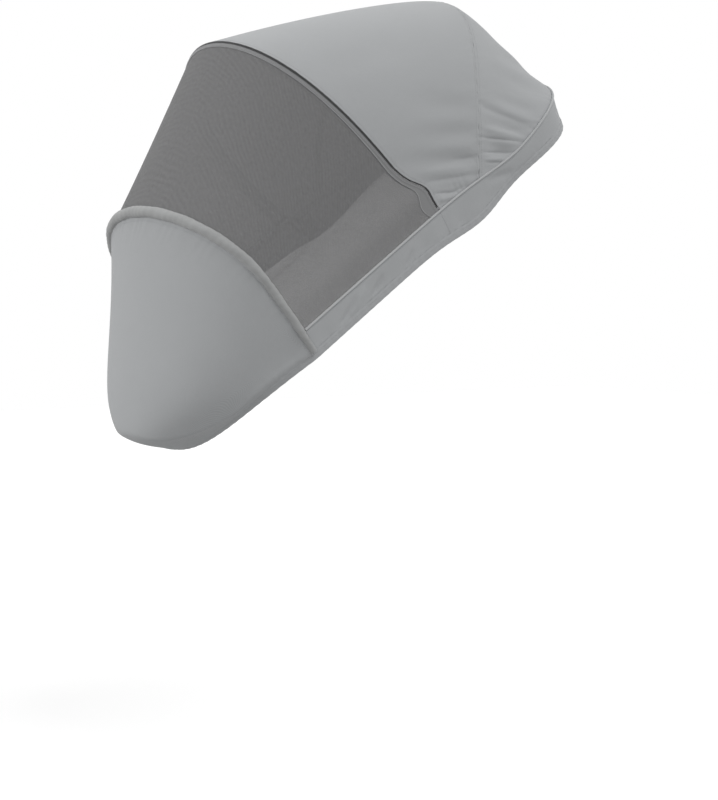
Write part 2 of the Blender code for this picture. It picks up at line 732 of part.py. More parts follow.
def build_trim(trim, tape, rod):
    """Piping, the front panel's rim sleeve with its rod, and the tape over the bow seam."""
    seam = to_row(spaced(seam_line(seam_start()), PIPING_STATIONS))
    add_cord("skirt_piping", seam, PIPING_RADIUS, trim)

    line = spaced(sleeve_line(), SLEEVE_STATIONS)
    radius = sleeve_radius(line)
    lengthwise = np.array([0.0, FRONT_APEX_N - SEAM_HEIGHT, FRONT_S - FRONT_APEX_S])
    _, outward, across = cross_frames(line, lengthwise)
    turn = np.linspace(0.0, 2 * math.pi, 8, endpoint=False)
    ring = (outward[:, None] * np.cos(turn)[None, :, None]
            + across[:, None] * np.sin(turn)[None, :, None])
    outer = line[:, None] + ring * radius[:, None, None]
    inner = line[:, None] + ring * (ROD_RADIUS + GAP)
    add_hollow_tube("front_rim_sleeve", outer, inner, trim)
    total = lengths_along(line)[-1]
    core = points_at(line, np.linspace(ROD_INSET, total - ROD_INSET, SLEEVE_STATIONS))
    add_cord("front_rim_rod", to_row(core), ROD_RADIUS * 0.9, rod)

    clear = PIPING_RADIUS + 2 * GAP
    ahead = band_under(canopy_surface()[::-1], 0.0, BINDING_WIDTH / 2, TAPE)
    behind = band_under(rear_surface(), 0.0, BINDING_WIDTH / 2, TAPE)
    bow = spread(canopy_bow(), COLUMNS)
    middle = bow + ((ahead[0] + behind[0]) / 2 - bow) * BINDING_SLACK
    grid = np.stack([ahead[1], middle, behind[1]])
    add_panel("bow_seam_binding", trimmed(grid, side=clear), TAPE, tape)


def add_cord(name, points, radius, finish):
    """A round cord through points, with filled ends."""
    curve = bpy.data.curves.new(name, "CURVE")
    curve.dimensions = "3D"
    curve.bevel_depth = radius
    curve.bevel_resolution = 1
    curve.use_fill_caps = True
    spline = curve.splines.new("POLY")
    spline.points.add(len(points) - 1)
    for place, point in zip(spline.points, points):
        place.co = (*point, 1.0)
    curve.materials.append(finish)
    made = bpy.data.objects.new(name, curve)
    bpy.context.scene.collection.objects.link(made)
    return made


def build_hem(cloth, elastic):
    """The folded hem round the whole opening, and the elastic that it holds."""
    head = hem_line(FRONT_S)
    foot = foot_line()
    tip = len(foot) // 2
    rise = seam_height(head[:, 1]) - head[:, 2]
    out = head * [1, 1, 0] - [0, REAR_FOOT_S, 0]
    out[:, 1] = np.clip(out[:, 1], 0.0, None)
    out /= np.linalg.norm(out, axis=1, keepdims=True)
    inset = HEM_INSET + (HEM_HEAD_INSET - HEM_INSET) * out[:, 1:2] ** 2
    upright = out * inset + rise[:, None] * np.array([0.0, 0.0, 1.0])
    upright /= np.linalg.norm(upright, axis=1, keepdims=True)
    lean = hem_lean(np.linspace(0.0, math.pi, len(foot)))
    lean /= np.linalg.norm(lean, axis=1, keepdims=True)
    loop = np.concatenate([foot[tip:0:-1], head, foot[-2:tip:-1]])
    rising = np.concatenate([lean[tip:0:-1], upright, lean[-2:tip:-1]])

    closed = np.concatenate([loop, loop[:1]])
    run = lengths_along(closed)
    stations = np.linspace(0.0, run[-1], HEM_STATIONS, endpoint=False)
    line = points_at(closed, stations)
    rising = np.concatenate([rising, rising[:1]])
    rising = np.stack([np.interp(stations, run, rising[:, k]) for k in range(3)], axis=1)
    along = np.roll(line, -1, axis=0) - np.roll(line, 1, axis=0)
    along /= np.linalg.norm(along, axis=1, keepdims=True)
    outward = np.cross(along, rising)
    outward /= np.linalg.norm(outward, axis=1, keepdims=True)
    rising = np.cross(outward, along)

    half = HEM_PLY + ELASTIC_SPACE + ELASTIC_THICKNESS / 2
    inner = half - HEM_PLY
    fold = [(0, -half), (0, half), (HEM_BAND, half), (HEM_BAND, inner),
            (HEM_PLY, inner), (HEM_PLY, -inner), (HEM_BAND, -inner), (HEM_BAND, -half)]
    low = HEM_PLY + GAP
    flat = ELASTIC_THICKNESS / 2
    band = [(low, -flat), (low, flat), (low + ELASTIC_WIDTH, flat), (low + ELASTIC_WIDTH, -flat)]
    for name, profile, finish in (("hem_casing", fold, cloth), ("hem_elastic", band, elastic)):
        rings = np.stack([line + rising * w + outward * b for w, b in profile], axis=1)
        add_sweep(name, rings, finish, closed=True)


def build_zip(tape, coil, metal):
    """Zip tapes under the cloth, the two rows of teeth, the end stops and the slider."""
    clear = PIPING_RADIUS + 2 * GAP
    for name, surface in (("upper_zip_tape", canopy_surface()),
                          ("lower_zip_tape", net_surface())):
        strip = band_under(surface, TAPE_START, TAPE_WIDTH, TAPE)
        add_panel(name, trimmed(strip, side=clear), TAPE, tape)
    add_teeth_row("upper_zip_teeth", 1, coil)
    add_teeth_row("lower_zip_teeth", -1, coil)

    for name, side in (("left_zip_stop", 1), ("right_zip_stop", -1)):
        foot, upward, outward, headward = rim_leg(side)
        centre = foot + upward * (stop_start(side) + STOP_LENGTH / 2)
        add_box(name, centre, (upward, headward, outward),
                (STOP_LENGTH, 2 * TEETH_HALF, TEETH_DEPTH), metal, bevel=0.0003)
    build_slider(metal)


def build_slider(metal):
    """The slider, parked above the right stop, and its pull tab on a cross bar."""
    foot, upward, outward, headward = rim_leg(-1)
    centre = foot + upward * (stop_start(-1) + STOP_LENGTH + GAP + SLIDER_LENGTH / 2)
    axes = (upward, headward, outward)
    over = CLOTH / 2 + GAP
    under = CLOTH / 2 + 2 * GAP + TAPE + GAP

    length, width = SLIDER_LENGTH, SLIDER_WIDTH
    outline = rounded_outline([(-length / 2, -width * 0.36), (length / 2, -width / 2),
                               (length / 2, width / 2), (-length / 2, width * 0.36)], 0.0015)
    slider = add_plate("zip_slider", centre + outward * (over + SLIDER_PLATE / 2), axes, outline,
                       SLIDER_PLATE, metal)
    lower = add_plate("slider_lower_plate", centre - outward * (under + SLIDER_PLATE / 2), axes,
                      outline, SLIDER_PLATE, metal)
    post_height = over + under + SLIDER_PLATE
    post = add_box("slider_post", centre + outward * (over - under) / 2 + upward * length * 0.30,
                   axes, (length * 0.25, SLIDER_POST, post_height), metal)
    bar_height = over + SLIDER_PLATE + TAB_EYE + GAP
    lugs = []
    for side in (-1, 1):
        place = (centre + outward * (over + SLIDER_PLATE / 2 + (bar_height - over) / 2)
                 + headward * side * (TAB_EYE_WIDTH / 2 + GAP + LUG / 2))
        lugs.append(add_box(f"slider_lug_{side + 1}", place, axes,
                            (2 * LUG, LUG, bar_height - over + SLIDER_PLATE / 2), metal))
    bar_centre = centre + outward * bar_height
    turn = np.linspace(0.0, 2 * math.pi, 8, endpoint=False)
    bar_outline = np.stack([np.cos(turn), np.sin(turn)], axis=1) * BAR_RADIUS
    bar = add_plate("slider_bar", bar_centre, (upward, outward, headward), bar_outline,
                    TAB_EYE_WIDTH + 2 * GAP + LUG, metal)
    joined(slider, [lower, post, *lugs, bar])
    put_origin(slider, centre)

    eye_turn = np.linspace(0.0, 2 * math.pi, 12, endpoint=False)
    circle = np.stack([np.cos(eye_turn), np.sin(eye_turn)], axis=1)
    tab = add_plate("zip_pull_tab", bar_centre, (upward, outward, headward), circle * TAB_EYE,
                    TAB_EYE_WIDTH, metal)
    hole = add_plate("tab_eye_hole", bar_centre, (upward, outward, headward),
                     circle * (BAR_RADIUS + GAP), 2 * TAB_EYE_WIDTH, metal)
    blade_start = BAR_RADIUS + 2 * GAP
    half_width = TAB_WIDTH / 2
    blade_outline = rounded_outline([(-blade_start, -TAB_EYE_WIDTH / 2),
                                     (-blade_start, TAB_EYE_WIDTH / 2),
                                     (-blade_start - 0.006, half_width),
                                     (-TAB_LENGTH, half_width),
                                     (-TAB_LENGTH, -half_width),
                                     (-blade_start - 0.006, -half_width)], 0.0006)
    blade = add_plate("tab_blade", bar_centre, axes, blade_outline, TAB_THICKNESS, metal)
    joined(tab, [blade])
    cut = tab.modifiers.new("Eye", "BOOLEAN")
    cut.operation = "DIFFERENCE"
    cut.solver = "EXACT"
    cut.object = hole
    hole.hide_render = True
    hole.display_type = "WIRE"
    put_origin(tab, bar_centre)


def arc(centre, radius, start, end, steps=4):
    """Points of a circular arc, angles in degrees."""
    angle = np.radians(np.linspace(start, end, steps + 1))
    return np.stack([centre[0] + radius * np.cos(angle), centre[1] + radius * np.sin(angle)],
                    axis=1)


def add_web(name, path, side, finish):
    """A flat webbing strip: a path across the seat, given its thickness and its width."""
    along = np.gradient(path, axis=0)
    along /= np.linalg.norm(along, axis=1, keepdims=True)
    normal = np.stack([-along[:, 1], along[:, 0]], axis=1) * STRAP_THICKNESS / 2
    rings = []
    for centre, offset in zip(path, normal):
        ring = []
        for sign, end in ((-1, -1), (1, -1), (1, 1), (-1, 1)):
            x, n = centre + offset * sign
            ring.append((x * side, STRAP_S + end * STRAP_WIDTH / 2, n))
        rings.append(ring)
    return add_sweep(name, np.array(rings), finish)


def build_strap(label, side, web, hook, loop):
    """A frame strap: a web loop sewn inside the skirt, closed by a tab with hook and loop."""
    low_n = STRAP_TOP_N - STRAP_DEPTH
    drop = (low_n - hem_height(STRAP_S)) / (seam_height(STRAP_S) - hem_height(STRAP_S))
    skirt_x = HALF_WIDTH - HEM_INSET * (1 - drop) - CLOTH / 2
    outer = skirt_x - GAP - STRAP_THICKNESS / 2
    inner = outer - STRAP_CLEAR - STRAP_THICKNESS
    stack = STRAP_THICKNESS + 2 * PATCH_THICKNESS + 3 * GAP
    tab_x = inner - stack
    r = STRAP_CORNER
    hinge_n = STRAP_TOP_N - r
    path = np.concatenate([
        [(inner, hinge_n - 0.001)],
        arc((inner + r, low_n + r), r, 180, 270),
        arc((outer - r, low_n + r), r, 270, 360),
        arc((outer - r, STRAP_TOP_N - r), r, 0, 90),
        arc((tab_x + r, STRAP_TOP_N - r), r, 90, 180)])
    add_web(f"{label}_frame_strap", path, side, web)

    top = hinge_n - STRAP_HINGE_SPACE
    tab_path = np.array([(tab_x, top), (tab_x, top - TAB_STRAP_LENGTH)])
    tab = add_web(f"{label}_strap_tab", tab_path, side, web)
    axes = (np.array([1.0, 0, 0]), np.array([0, 1.0, 0]), np.array([0, 0, 1.0]))
    patch_n = top - 0.002 - PATCH_LENGTH / 2
    sizes = (PATCH_THICKNESS, STRAP_WIDTH - 0.002, PATCH_LENGTH)
    loop_x = inner - STRAP_THICKNESS / 2 - GAP - PATCH_THICKNESS / 2
    hook_x = loop_x - PATCH_THICKNESS - GAP
    add_box(f"{label}_loop_patch", (side * loop_x, STRAP_S, patch_n), axes, sizes, loop)
    patch = add_box(f"{label}_hook_patch", (side * hook_x, STRAP_S, patch_n), axes, sizes, hook)
    for moving in (tab, patch):
        put_origin(moving, (side * tab_x, STRAP_S, hinge_n))


def main():
    clear_scene()
    cloth = material("grey_cloth", (0.36, 0.37, 0.38), 0.85)
    net = material("grey_net", (0.16, 0.16, 0.16), 0.80, alpha=0.5)
    trim = material("light_piping", (0.40, 0.41, 0.42), 0.75)
    tape = material("dark_tape", (0.03, 0.03, 0.03), 0.70)
    coil = material("zip_coil", (0.10, 0.10, 0.11), 0.45)
    metal = material("dark_metal", (0.22, 0.22, 0.23), 0.35, metallic=1.0)
    rod = material("spring_rod", (0.75, 0.75, 0.72), 0.40)
    elastic = material("black_elastic", (0.04, 0.04, 0.04), 0.80)
    web = material("grey_webbing", (0.12, 0.12, 0.13), 0.80)
    hook = material("hook_tape", (0.05, 0.05, 0.05), 0.75)
    loop = material("loop_tape", (0.07, 0.07, 0.07), 0.95)
    build_panels(cloth, net)
    build_trim(trim, tape, rod)
    build_hem(cloth, elastic)
    build_zip(tape, coil, metal)
    build_strap("left", 1, web, hook, loop)
    build_strap("right", -1, web, hook, loop)


main()
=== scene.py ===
# Looks of a stroller mosquito net: its sewn cloth, net window, zip, trims and straps, around
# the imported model. Seat coordinates are (x, s, n): s runs up the seat's edge and n is square to it.

import math
from math import pi

import bmesh
import bpy
import numpy as np
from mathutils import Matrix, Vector


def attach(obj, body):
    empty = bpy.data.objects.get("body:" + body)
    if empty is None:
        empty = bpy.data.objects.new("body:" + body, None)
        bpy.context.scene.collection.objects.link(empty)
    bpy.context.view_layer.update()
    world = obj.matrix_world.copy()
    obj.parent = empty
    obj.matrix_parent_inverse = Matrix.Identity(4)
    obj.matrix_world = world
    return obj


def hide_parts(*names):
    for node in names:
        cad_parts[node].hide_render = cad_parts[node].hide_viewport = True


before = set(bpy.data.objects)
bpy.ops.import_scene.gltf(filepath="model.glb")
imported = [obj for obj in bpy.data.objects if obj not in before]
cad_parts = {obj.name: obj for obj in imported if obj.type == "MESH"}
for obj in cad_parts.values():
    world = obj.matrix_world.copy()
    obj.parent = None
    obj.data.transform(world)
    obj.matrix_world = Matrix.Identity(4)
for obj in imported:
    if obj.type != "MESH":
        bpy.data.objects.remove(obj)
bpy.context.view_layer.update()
print("frame loaded:", len(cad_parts), "nodes")

# The cover's main lines, in metres and degrees
seat = {"recline": 36.0, "halfWidth": 0.185}
cloth = {"thickness": 0.0018, "tape": 0.0006, "columns": 361, "crowding": 0.5}
piped = {"height": 0.043, "sag": 0.009, "sagS": 0.150, "sagReach": 0.080, "headRise": 0.008,
         "cordRadius": 0.0016, "cordRipple": (0.03, 0.0045), "proud": 0.0008, "tuck": 0.0022,
         "tuckAbove": 0.0012, "tuckReach": 0.003, "points": 701, "around": 14}
hem = {"height": 0.0028, "headHeight": 0.0012, "dip": 0.0105, "dipS": 0.058, "dipReach": 0.063,
       "inset": 0.004, "headInset": 0.010, "band": 0.0110, "overlap": 0.002, "ply": 0.0009,
       "elastic": 0.0008, "elasticWidth": 0.0065, "space": 0.0006}
rim = {"footS": 0.001, "apexS": -0.059, "apexN": 0.350, "half": 0.179, "leg": 0.085,
       "power": 2.25, "lean": 0.010, "slack": 0.010, "slackUp": 0.033, "slackReach": 0.020}
crest = {"footS": 0.069, "apexS": 0.232, "apexN": 0.260, "half": 0.192, "leg": 0.060,
         "power": 2.45, "lean": 0.0, "pull": 0.60}
bow = {"footS": 0.079, "apexS": 0.276, "apexN": 0.213, "half": 0.186, "leg": 0.050,
       "power": 2.0, "lean": 0.024}
headEnd = {"footS": 0.150, "apexS": 0.325, "power": 3.6, "hollow": 0.2, "arrival": 0.17,
           "swell": 0.31}
frontRim = {"footS": -0.258, "apexS": -0.272, "apexN": 0.237, "half": 0.1745, "leg": 0.068,
            "power": 1.9, "lean": -0.006, "radius": 0.0070, "footRadius": 0.0045,
            "clear": 0.0006}
foot = {"tipS": -0.401, "half": 0.162, "n": -0.038, "power": 1.77, "fall": 2.42, "tilt": 51.3,
        "curl": 1.18, "reach": 0.338, "cornerReach": 0.052, "pull": 2.2, "swell": 0.087,
        "swellPlace": 0.484}
folds = {"depth": 0.0025, "pitch": 0.036, "top": 0.120, "topSlope": -0.1, "rearSlope": 0.25,
         "edgeRise": 5}
turn = math.radians(seat["recline"])
hemHalf = hem["ply"] + hem["space"] + hem["elastic"] / 2  # half the casing's thickness
hemCut = hem["band"] - hem["overlap"]  # where panels end inside the hem
insidePoint = np.array([0.0, -0.05, 0.10])
upward = np.array([0.0, 0.0, 1.0])
flip = np.array([-1.0, 1.0, 1.0])


# Lines and grids

def smooth(x):
    # 3 x^2 - 2 x^3 between 0 and 1
    x = np.clip(x, 0.0, 1.0)
    return x * x * (3 - 2 * x)


def bell(x, middle, reach):
    # exp(-((x - middle) / reach)^2)
    return np.exp(-((x - middle) / reach) ** 2)


def mix(first, last, share):
    return first + (last - first) * share


def unit(vectors):
    return vectors / np.maximum(np.linalg.norm(vectors, axis=-1, keepdims=True), 1e-12)


def toRow(points):
    # (x, s, n) turned by the seat's recline about X
    x, s, n = points[..., 0], points[..., 1], points[..., 2]
    return np.stack([x, s * math.cos(turn) - n * math.sin(turn),
                     s * math.sin(turn) + n * math.cos(turn)], axis=-1)


def runAlong(grid):
    # distance from the first point, along the first axis
    steps = np.linalg.norm(np.diff(grid, axis=0), axis=-1)
    return np.concatenate([np.zeros_like(steps[:1]), np.cumsum(steps, axis=0)])


def carried(values, run, stations):
    # vectors given along a run, read off at stations between
    return np.stack([np.interp(stations, run, values[:, k]) for k in range(3)], axis=1)


def pointsAt(line, stations):
    return carried(line, runAlong(line), stations)


def evenly(line, count):
    return pointsAt(line, np.linspace(0.0, runAlong(line)[-1], count))


def crowded(line, count):
    # share of the run = u - c sin(2 pi u) / 2 pi, so points stand closer at both feet
    share = np.linspace(0.0, 1.0, count)
    share -= cloth["crowding"] * np.sin(2 * pi * share) / (2 * pi)
    return pointsAt(line, runAlong(line)[-1] * share)


def cutBack(grid, near=0.0, far=0.0, rows=None):
    # every column keeps its path, loses a length at either end and shares the rest evenly
    run = runAlong(grid)
    near, far = np.broadcast_to(near, run[-1].shape), np.broadcast_to(far, run[-1].shape)
    wanted = near + (run[-1] - near - far) * np.linspace(0.0, 1.0, rows or len(grid))[:, None]
    below = np.clip((run[None] <= wanted[:, None]).sum(axis=1) - 1, 0, len(grid) - 2)
    start = np.take_along_axis(run, below, axis=0)
    step = np.take_along_axis(run, below + 1, axis=0) - start
    part = ((wanted - start) / np.maximum(step, 1e-9))[..., None]
    low = np.take_along_axis(grid, below[..., None], axis=0)
    return mix(low, np.take_along_axis(grid, below[..., None] + 1, axis=0), part)


def turned(grid):
    return grid.transpose(1, 0, 2)


def outwardNormals(grid):
    normal = unit(np.cross(np.gradient(grid, axis=1), np.gradient(grid, axis=0)))
    return normal * np.sign(np.sum(normal * (grid - insidePoint), axis=-1).mean())


def raised(grid, amount):
    # every point moves out along its normal
    return grid + outwardNormals(grid) * amount[..., None]


def framesAlong(line, lengthwise):
    # the outward direction square to a line, and the one square to both
    along = unit(np.gradient(line, axis=0))
    outward = unit(np.cross(lengthwise, along))
    outward *= np.sign(np.sum(outward * (line - insidePoint)))
    return outward, np.cross(along, outward)


def roundAngles(count):
    return np.linspace(0.0, 2 * pi, count, endpoint=False)


def ringAround(first, second, angle):
    # first cos a + second sin a, at every point of a line
    return (first[..., None, :] * np.cos(angle)[:, None]
            + second[..., None, :] * np.sin(angle)[:, None])


def wireRings(line, radial, radius):
    # circles of five points, square to a thin wire's line
    along = unit(np.gradient(line, axis=0))
    other = unit(np.cross(along, radial))
    return line[:, None] + ringAround(np.cross(other, along), other, roundAngles(5)) * radius


# The outlines, as formulas

def halfTurn(count):
    # angles from 0 to pi and their sines
    angle = np.linspace(0.0, pi, count)
    return angle, np.clip(np.sin(angle), 0.0, 1.0)


def seamHeight(s):
    # a level line less a bell-shaped sag, plus a straight rise round the head end
    rise = (s - headEnd["footS"]) / (headEnd["apexS"] - headEnd["footS"])
    return (piped["height"] - piped["sag"] * bell(s, piped["sagS"], piped["sagReach"])
            + piped["headRise"] * np.clip(rise, 0.0, 1.0))


def hemHeight(s):
    # a smooth step down towards the head end, less a bell-shaped dip at the straps
    level = mix(hem["height"], hem["headHeight"], 0.5 + 0.5 * np.tanh(s / hem["dipReach"]))
    return level - hem["dip"] * bell(s, hem["dipS"], hem["dipReach"])


def arch(shape, straight=False):
    # two legs, then the superellipse x = half cos a, up = leg + (rise - leg) sin a ^ (2 / power),
    # in the plane through both feet and the apex, pushed out of it by the lean
    footS, leg, half = shape["footS"], shape["leg"], shape["half"]
    footN = float(seamHeight(footS))
    rise = math.hypot(shape["apexS"] - footS, shape["apexN"] - footN)
    angle, bend = halfTurn(481)
    legs = np.linspace(0.0, 1.0, 40, endpoint=False)
    legX = mix(seat["halfWidth"], half, legs)
    x = np.concatenate([legX, half * np.cos(angle), -legX[::-1]])
    up = np.concatenate([leg * legs, mix(leg, rise, bend ** (2 / shape["power"])),
                         (leg * legs)[::-1]])
    above = np.clip((up - leg) / (rise - leg), 0.0, 1.0)
    if straight:
        shift = shape["lean"] * np.clip(up / leg, 0.0, 1.0) * np.cos(0.5 * pi * above)
    else:
        shift = shape["lean"] * np.sin(pi * up / rise)
    alongS, alongN = (shape["apexS"] - footS) / rise, (shape["apexN"] - footN) / rise
    return np.stack([x, footS + alongS * up - alongN * shift,
                     footN + alongN * up + alongS * shift], axis=1)


def rimAcross():
    # square to the canopy rim's plane, towards the canopy
    s, n = rim["apexS"] - rim["footS"], rim["apexN"] - float(seamHeight(rim["footS"]))
    return np.array([0.0, n, -s]) / math.hypot(s, n)


def canopyRim():
    # its +X leg hangs slack by a bell-shaped amount, square to the rim's plane
    line = arch(rim, straight=True)
    slack = rim["slack"] * bell(line[:, 2] - line[0, 2], rim["slackUp"], rim["slackReach"])
    return line + np.where(line[:, 0] < 0, 0.0, slack)[:, None] * rimAcross()


def mirrored(line):
    return (line * flip)[::-1]


def sideLine(half, startS, endS, height):
    s = np.linspace(startS, endS, 81)
    return np.stack([np.full_like(s, half), s, height(s)], axis=1)


def roundHead(half, apexS, height):
    # x = half cos a, s = foot + (apex - foot) sin a ^ (2 / power)
    angle, bend = halfTurn(361)
    s = mix(headEnd["footS"], apexS, bend ** (2 / headEnd["power"]))
    return np.stack([half * np.cos(angle), s, height(s)], axis=1)


def aroundHead(half, apexS, startS, height):
    # a straight side, the round head end and the other side
    side = sideLine(half, startS, headEnd["footS"], height)
    return np.concatenate([side[:-1], roundHead(half, apexS, height), mirrored(side)[1:]])


def seamLine(startS):
    return aroundHead(seat["halfWidth"], headEnd["apexS"], startS, seamHeight)


def hemLine(startS):
    return aroundHead(seat["halfWidth"] - hem["inset"], headEnd["apexS"] - hem["headInset"],
                      startS, hemHeight)


def footLine():
    # x = half cos a, s and n fall from the corners to the tip with powers of sin a
    angle, bend = halfTurn(361)
    half = mix(seat["halfWidth"] - hem["inset"], foot["half"], bend)
    s = mix(frontRim["footS"], foot["tipS"], bend ** (2 / foot["power"]))
    n = mix(hemHeight(frontRim["footS"]), foot["n"], bend ** foot["fall"])
    return np.stack([half * np.cos(angle), s, n], axis=1)


def sleeveLine():
    # the front rim's arch, with its feet drawn down to the hem
    low = hemHeight(frontRim["footS"]) + hem["band"] + frontRim["clear"]
    base = np.array([[seat["halfWidth"], frontRim["footS"], low]])
    return np.concatenate([base, arch(frontRim), mirrored(base)])


def sleeveRadius(line):
    # a half sine from foot to foot
    share = runAlong(line) / runAlong(line)[-1]
    return mix(frontRim["footRadius"], frontRim["radius"], np.sin(pi * share))


# The cloth surfaces, rows from the first edge to the last, columns from +X over to -X

def downRows(rows):
    return np.linspace(0.0, 1.0, rows)[:, None, None]


def weighted(lines, weights):
    return sum(line * weight for line, weight in zip(lines, weights)) / sum(weights)


def bezier(a, b, c, d, rows, pull=1.0):
    # cubic curves, drawn harder to c where pull is over 1
    v = downRows(rows)
    weights = (1 - v) ** 3, 3 * v * (1 - v) ** 2, pull * 3 * v ** 2 * (1 - v), v ** 3
    return weighted((a, b, c, d), weights)


def ruled(first, last, rows):
    return first * (1 - downRows(rows)) + last * downRows(rows)


def folded(grid, slope):
    # a sine of the height above the floor plus a slope, deepest low on the sides, none at edges
    rows, columns = grid.shape[:2]
    along = np.sin(np.linspace(0.0, pi, rows))[:, None] ** 2
    across = np.sin(np.linspace(0.0, pi, columns))[None, :]
    low = np.clip(1 - (grid[..., 2] - piped["height"]) / folds["top"], 0.0, 1.0)
    place = toRow(grid)
    wave = np.sin(2 * pi * (place[..., 2] + place[..., 1] * slope) / folds["pitch"])
    across = np.minimum(1.0, folds["edgeRise"] * across)
    return raised(grid, folds["depth"] * wave * along * across * low)


def topSurface(columns):
    # weights (1-v)^2, 2 pull v (1-v) and v^2 on rim, crest and bow, divided by their sum
    v = downRows(121)
    lines = [crowded(line, columns) for line in (canopyRim(), arch(crest), arch(bow))]
    surface = weighted(lines, ((1 - v) ** 2, 2 * crest["pull"] * v * (1 - v), v ** 2))
    return folded(surface, folds["topSlope"])


def rearSurface(columns):
    # cubic curves that leave the bow as the canopy arrives there, and rise from the piped seam
    bowLine, crestLine = crowded(arch(bow), columns), crowded(arch(crest), columns)
    seam = crowded(roundHead(seat["halfWidth"], headEnd["apexS"], seamHeight), columns)
    span = np.linalg.norm(seam - bowLine, axis=1, keepdims=True)
    leave = unit((bowLine - crestLine) * [headEnd["hollow"], 1, 1])
    surface = bezier(bowLine, bowLine + leave * span * headEnd["swell"],
                     mix(seam, bowLine, headEnd["arrival"]), seam, 121)
    return folded(surface, folds["rearSlope"])


def netSurface(columns):
    return ruled(crowded(canopyRim(), columns), crowded(arch(frontRim), columns), 81)


def levelOut(angle):
    # outward round the foot end, level with the seat
    return np.stack([np.cos(angle), -np.sin(angle), np.zeros(len(angle))], axis=1)


def hemLean(angle):
    # direction in which the front panel leaves its hem: upright at the corners, nearly flat at
    # the tip, with the panel's reach in that direction as its length
    run = runAlong(footLine())
    share = np.interp(angle, np.linspace(0.0, pi, len(run)), run / run[-1])
    curl = np.clip(np.sin(pi * share), 0.0, 1.0)[:, None] ** foot["curl"]
    tilt = mix(math.atan2(hem["inset"], piped["height"] - hem["height"]),
               math.radians(foot["tilt"]), curl)
    direction = levelOut(angle) * np.sin(tilt) + upward * np.cos(tilt)
    return direction * mix(foot["cornerReach"], foot["reach"], curl)


def frontSurface(columns):
    # cubic curves from the rim's sleeve down and round to the hem under the seat
    top, low = evenly(sleeveLine(), columns), evenly(footLine(), columns)
    run = runAlong(footLine())
    angle = np.interp(np.linspace(0.0, run[-1], columns), run,
                      np.linspace(0.0, pi, len(run)))
    depth = np.linalg.norm(low - top, axis=1, keepdims=True)
    swollen = mix(top, low, foot["swellPlace"]) + levelOut(angle) * depth * foot["swell"]
    return bezier(top, swollen, low + hemLean(angle) * depth, low, 161, foot["pull"])


# Materials

def setSockets(inputs, values):
    # each value is a number, a colour or another node's output
    for label, value in values.items():
        if isinstance(value, bpy.types.NodeSocket):
            value.id_data.links.new(value, inputs[label])
        else:
            inputs[label].default_value = value


def addNode(kind, sockets, tree=None, **settings):
    # a shader node in the given tree, or in the one of the outputs that feed it
    if tree is None:
        tree = next(v.id_data for v in sockets.values() if isinstance(v, bpy.types.NodeSocket))
    node = tree.nodes.new("ShaderNode" + kind)
    for name, value in settings.items():
        setattr(node, name, value)
    setSockets(node.inputs, sockets)
    return node.outputs


def maths(operation, *values, clamp=False):
    return addNode("Math", dict(enumerate(values)), operation=operation, use_clamp=clamp)[0]


def times(first, second):
    return maths("MULTIPLY", first, second)


def timesPlus(first, second, more, clamp=False):
    return maths("MULTIPLY_ADD", first, second, more, clamp=clamp)


def vectorMaths(operation, *values):
    made = addNode("VectorMath", dict(enumerate(values)), operation=operation)
    return made["Value" if operation == "LENGTH" else "Vector"]


def scaled(vector, factor):
    return addNode("VectorMath", {0: vector, "Scale": factor}, operation="SCALE")[0]


def noiseOf(place, scale, detail=2.0):
    return addNode("TexNoise", {"Vector": place, "Scale": scale, "Detail": detail})[0]


def bumpOf(height, strength, distance):
    return addNode("Bump", {"Height": height, "Strength": strength, "Distance": distance})[0]


def newGroup(name, inputs, outputs):
    tree = bpy.data.node_groups.new(name, "ShaderNodeTree")
    for label, (kind, value) in inputs.items():
        socket = tree.interface.new_socket(label, in_out="INPUT", socket_type="NodeSocket" + kind)
        if value is not None:
            socket.default_value = value
    for label, kind in outputs.items():
        tree.interface.new_socket(label, in_out="OUTPUT", socket_type="NodeSocket" + kind)
    return tree, tree.nodes.new("NodeGroupInput").outputs, tree.nodes.new("NodeGroupOutput").inputs


def weaveGroup():
    # plain weave: the product of two sines makes the over-and-under, threads vary by noise
    tree, given, made = newGroup(
        "plainWeave",
        {"Place": ("Vector", None), "Thread": ("Float", 0.0005), "Colour": ("Color", None),
         "Contrast": ("Float", 0.25), "Slub": ("Float", 0.12), "Clouds": ("Float", 0.06)},
        {"Colour": "Color", "Height": "Float", "Roughness": "Float"})
    place = given["Place"]
    parts = addNode("SeparateXYZ", {0: place})
    waves = [maths("SINE", times(maths("DIVIDE", parts[axis], given["Thread"]), pi))
             for axis in ("X", "Y")]
    weave = timesPlus(times(*waves), 0.5, 0.5)
    slubs = [noiseOf(addNode("Mapping", {"Vector": place, "Scale": stretch})[0], 1.0, 1.0)
             for stretch in ((60.0, 1400.0, 1.0), (1400.0, 60.0, 1.0))]
    slub = maths("SUBTRACT", times(maths("ADD", *slubs), 0.5), 0.5)
    cloud = maths("SUBTRACT", noiseOf(place, 14.0, 3.0), 0.5)
    shade = times(maths("SUBTRACT", weave, 0.5), given["Contrast"])
    shade = timesPlus(cloud, given["Clouds"], timesPlus(slub, given["Slub"], shade))
    setSockets(made, {"Colour": scaled(given["Colour"], maths("ADD", shade, 1.0)),
                      "Height": timesPlus(slub, 0.5, weave),
                      "Roughness": timesPlus(cloud, 0.15, 0.86, clamp=True)})
    return tree


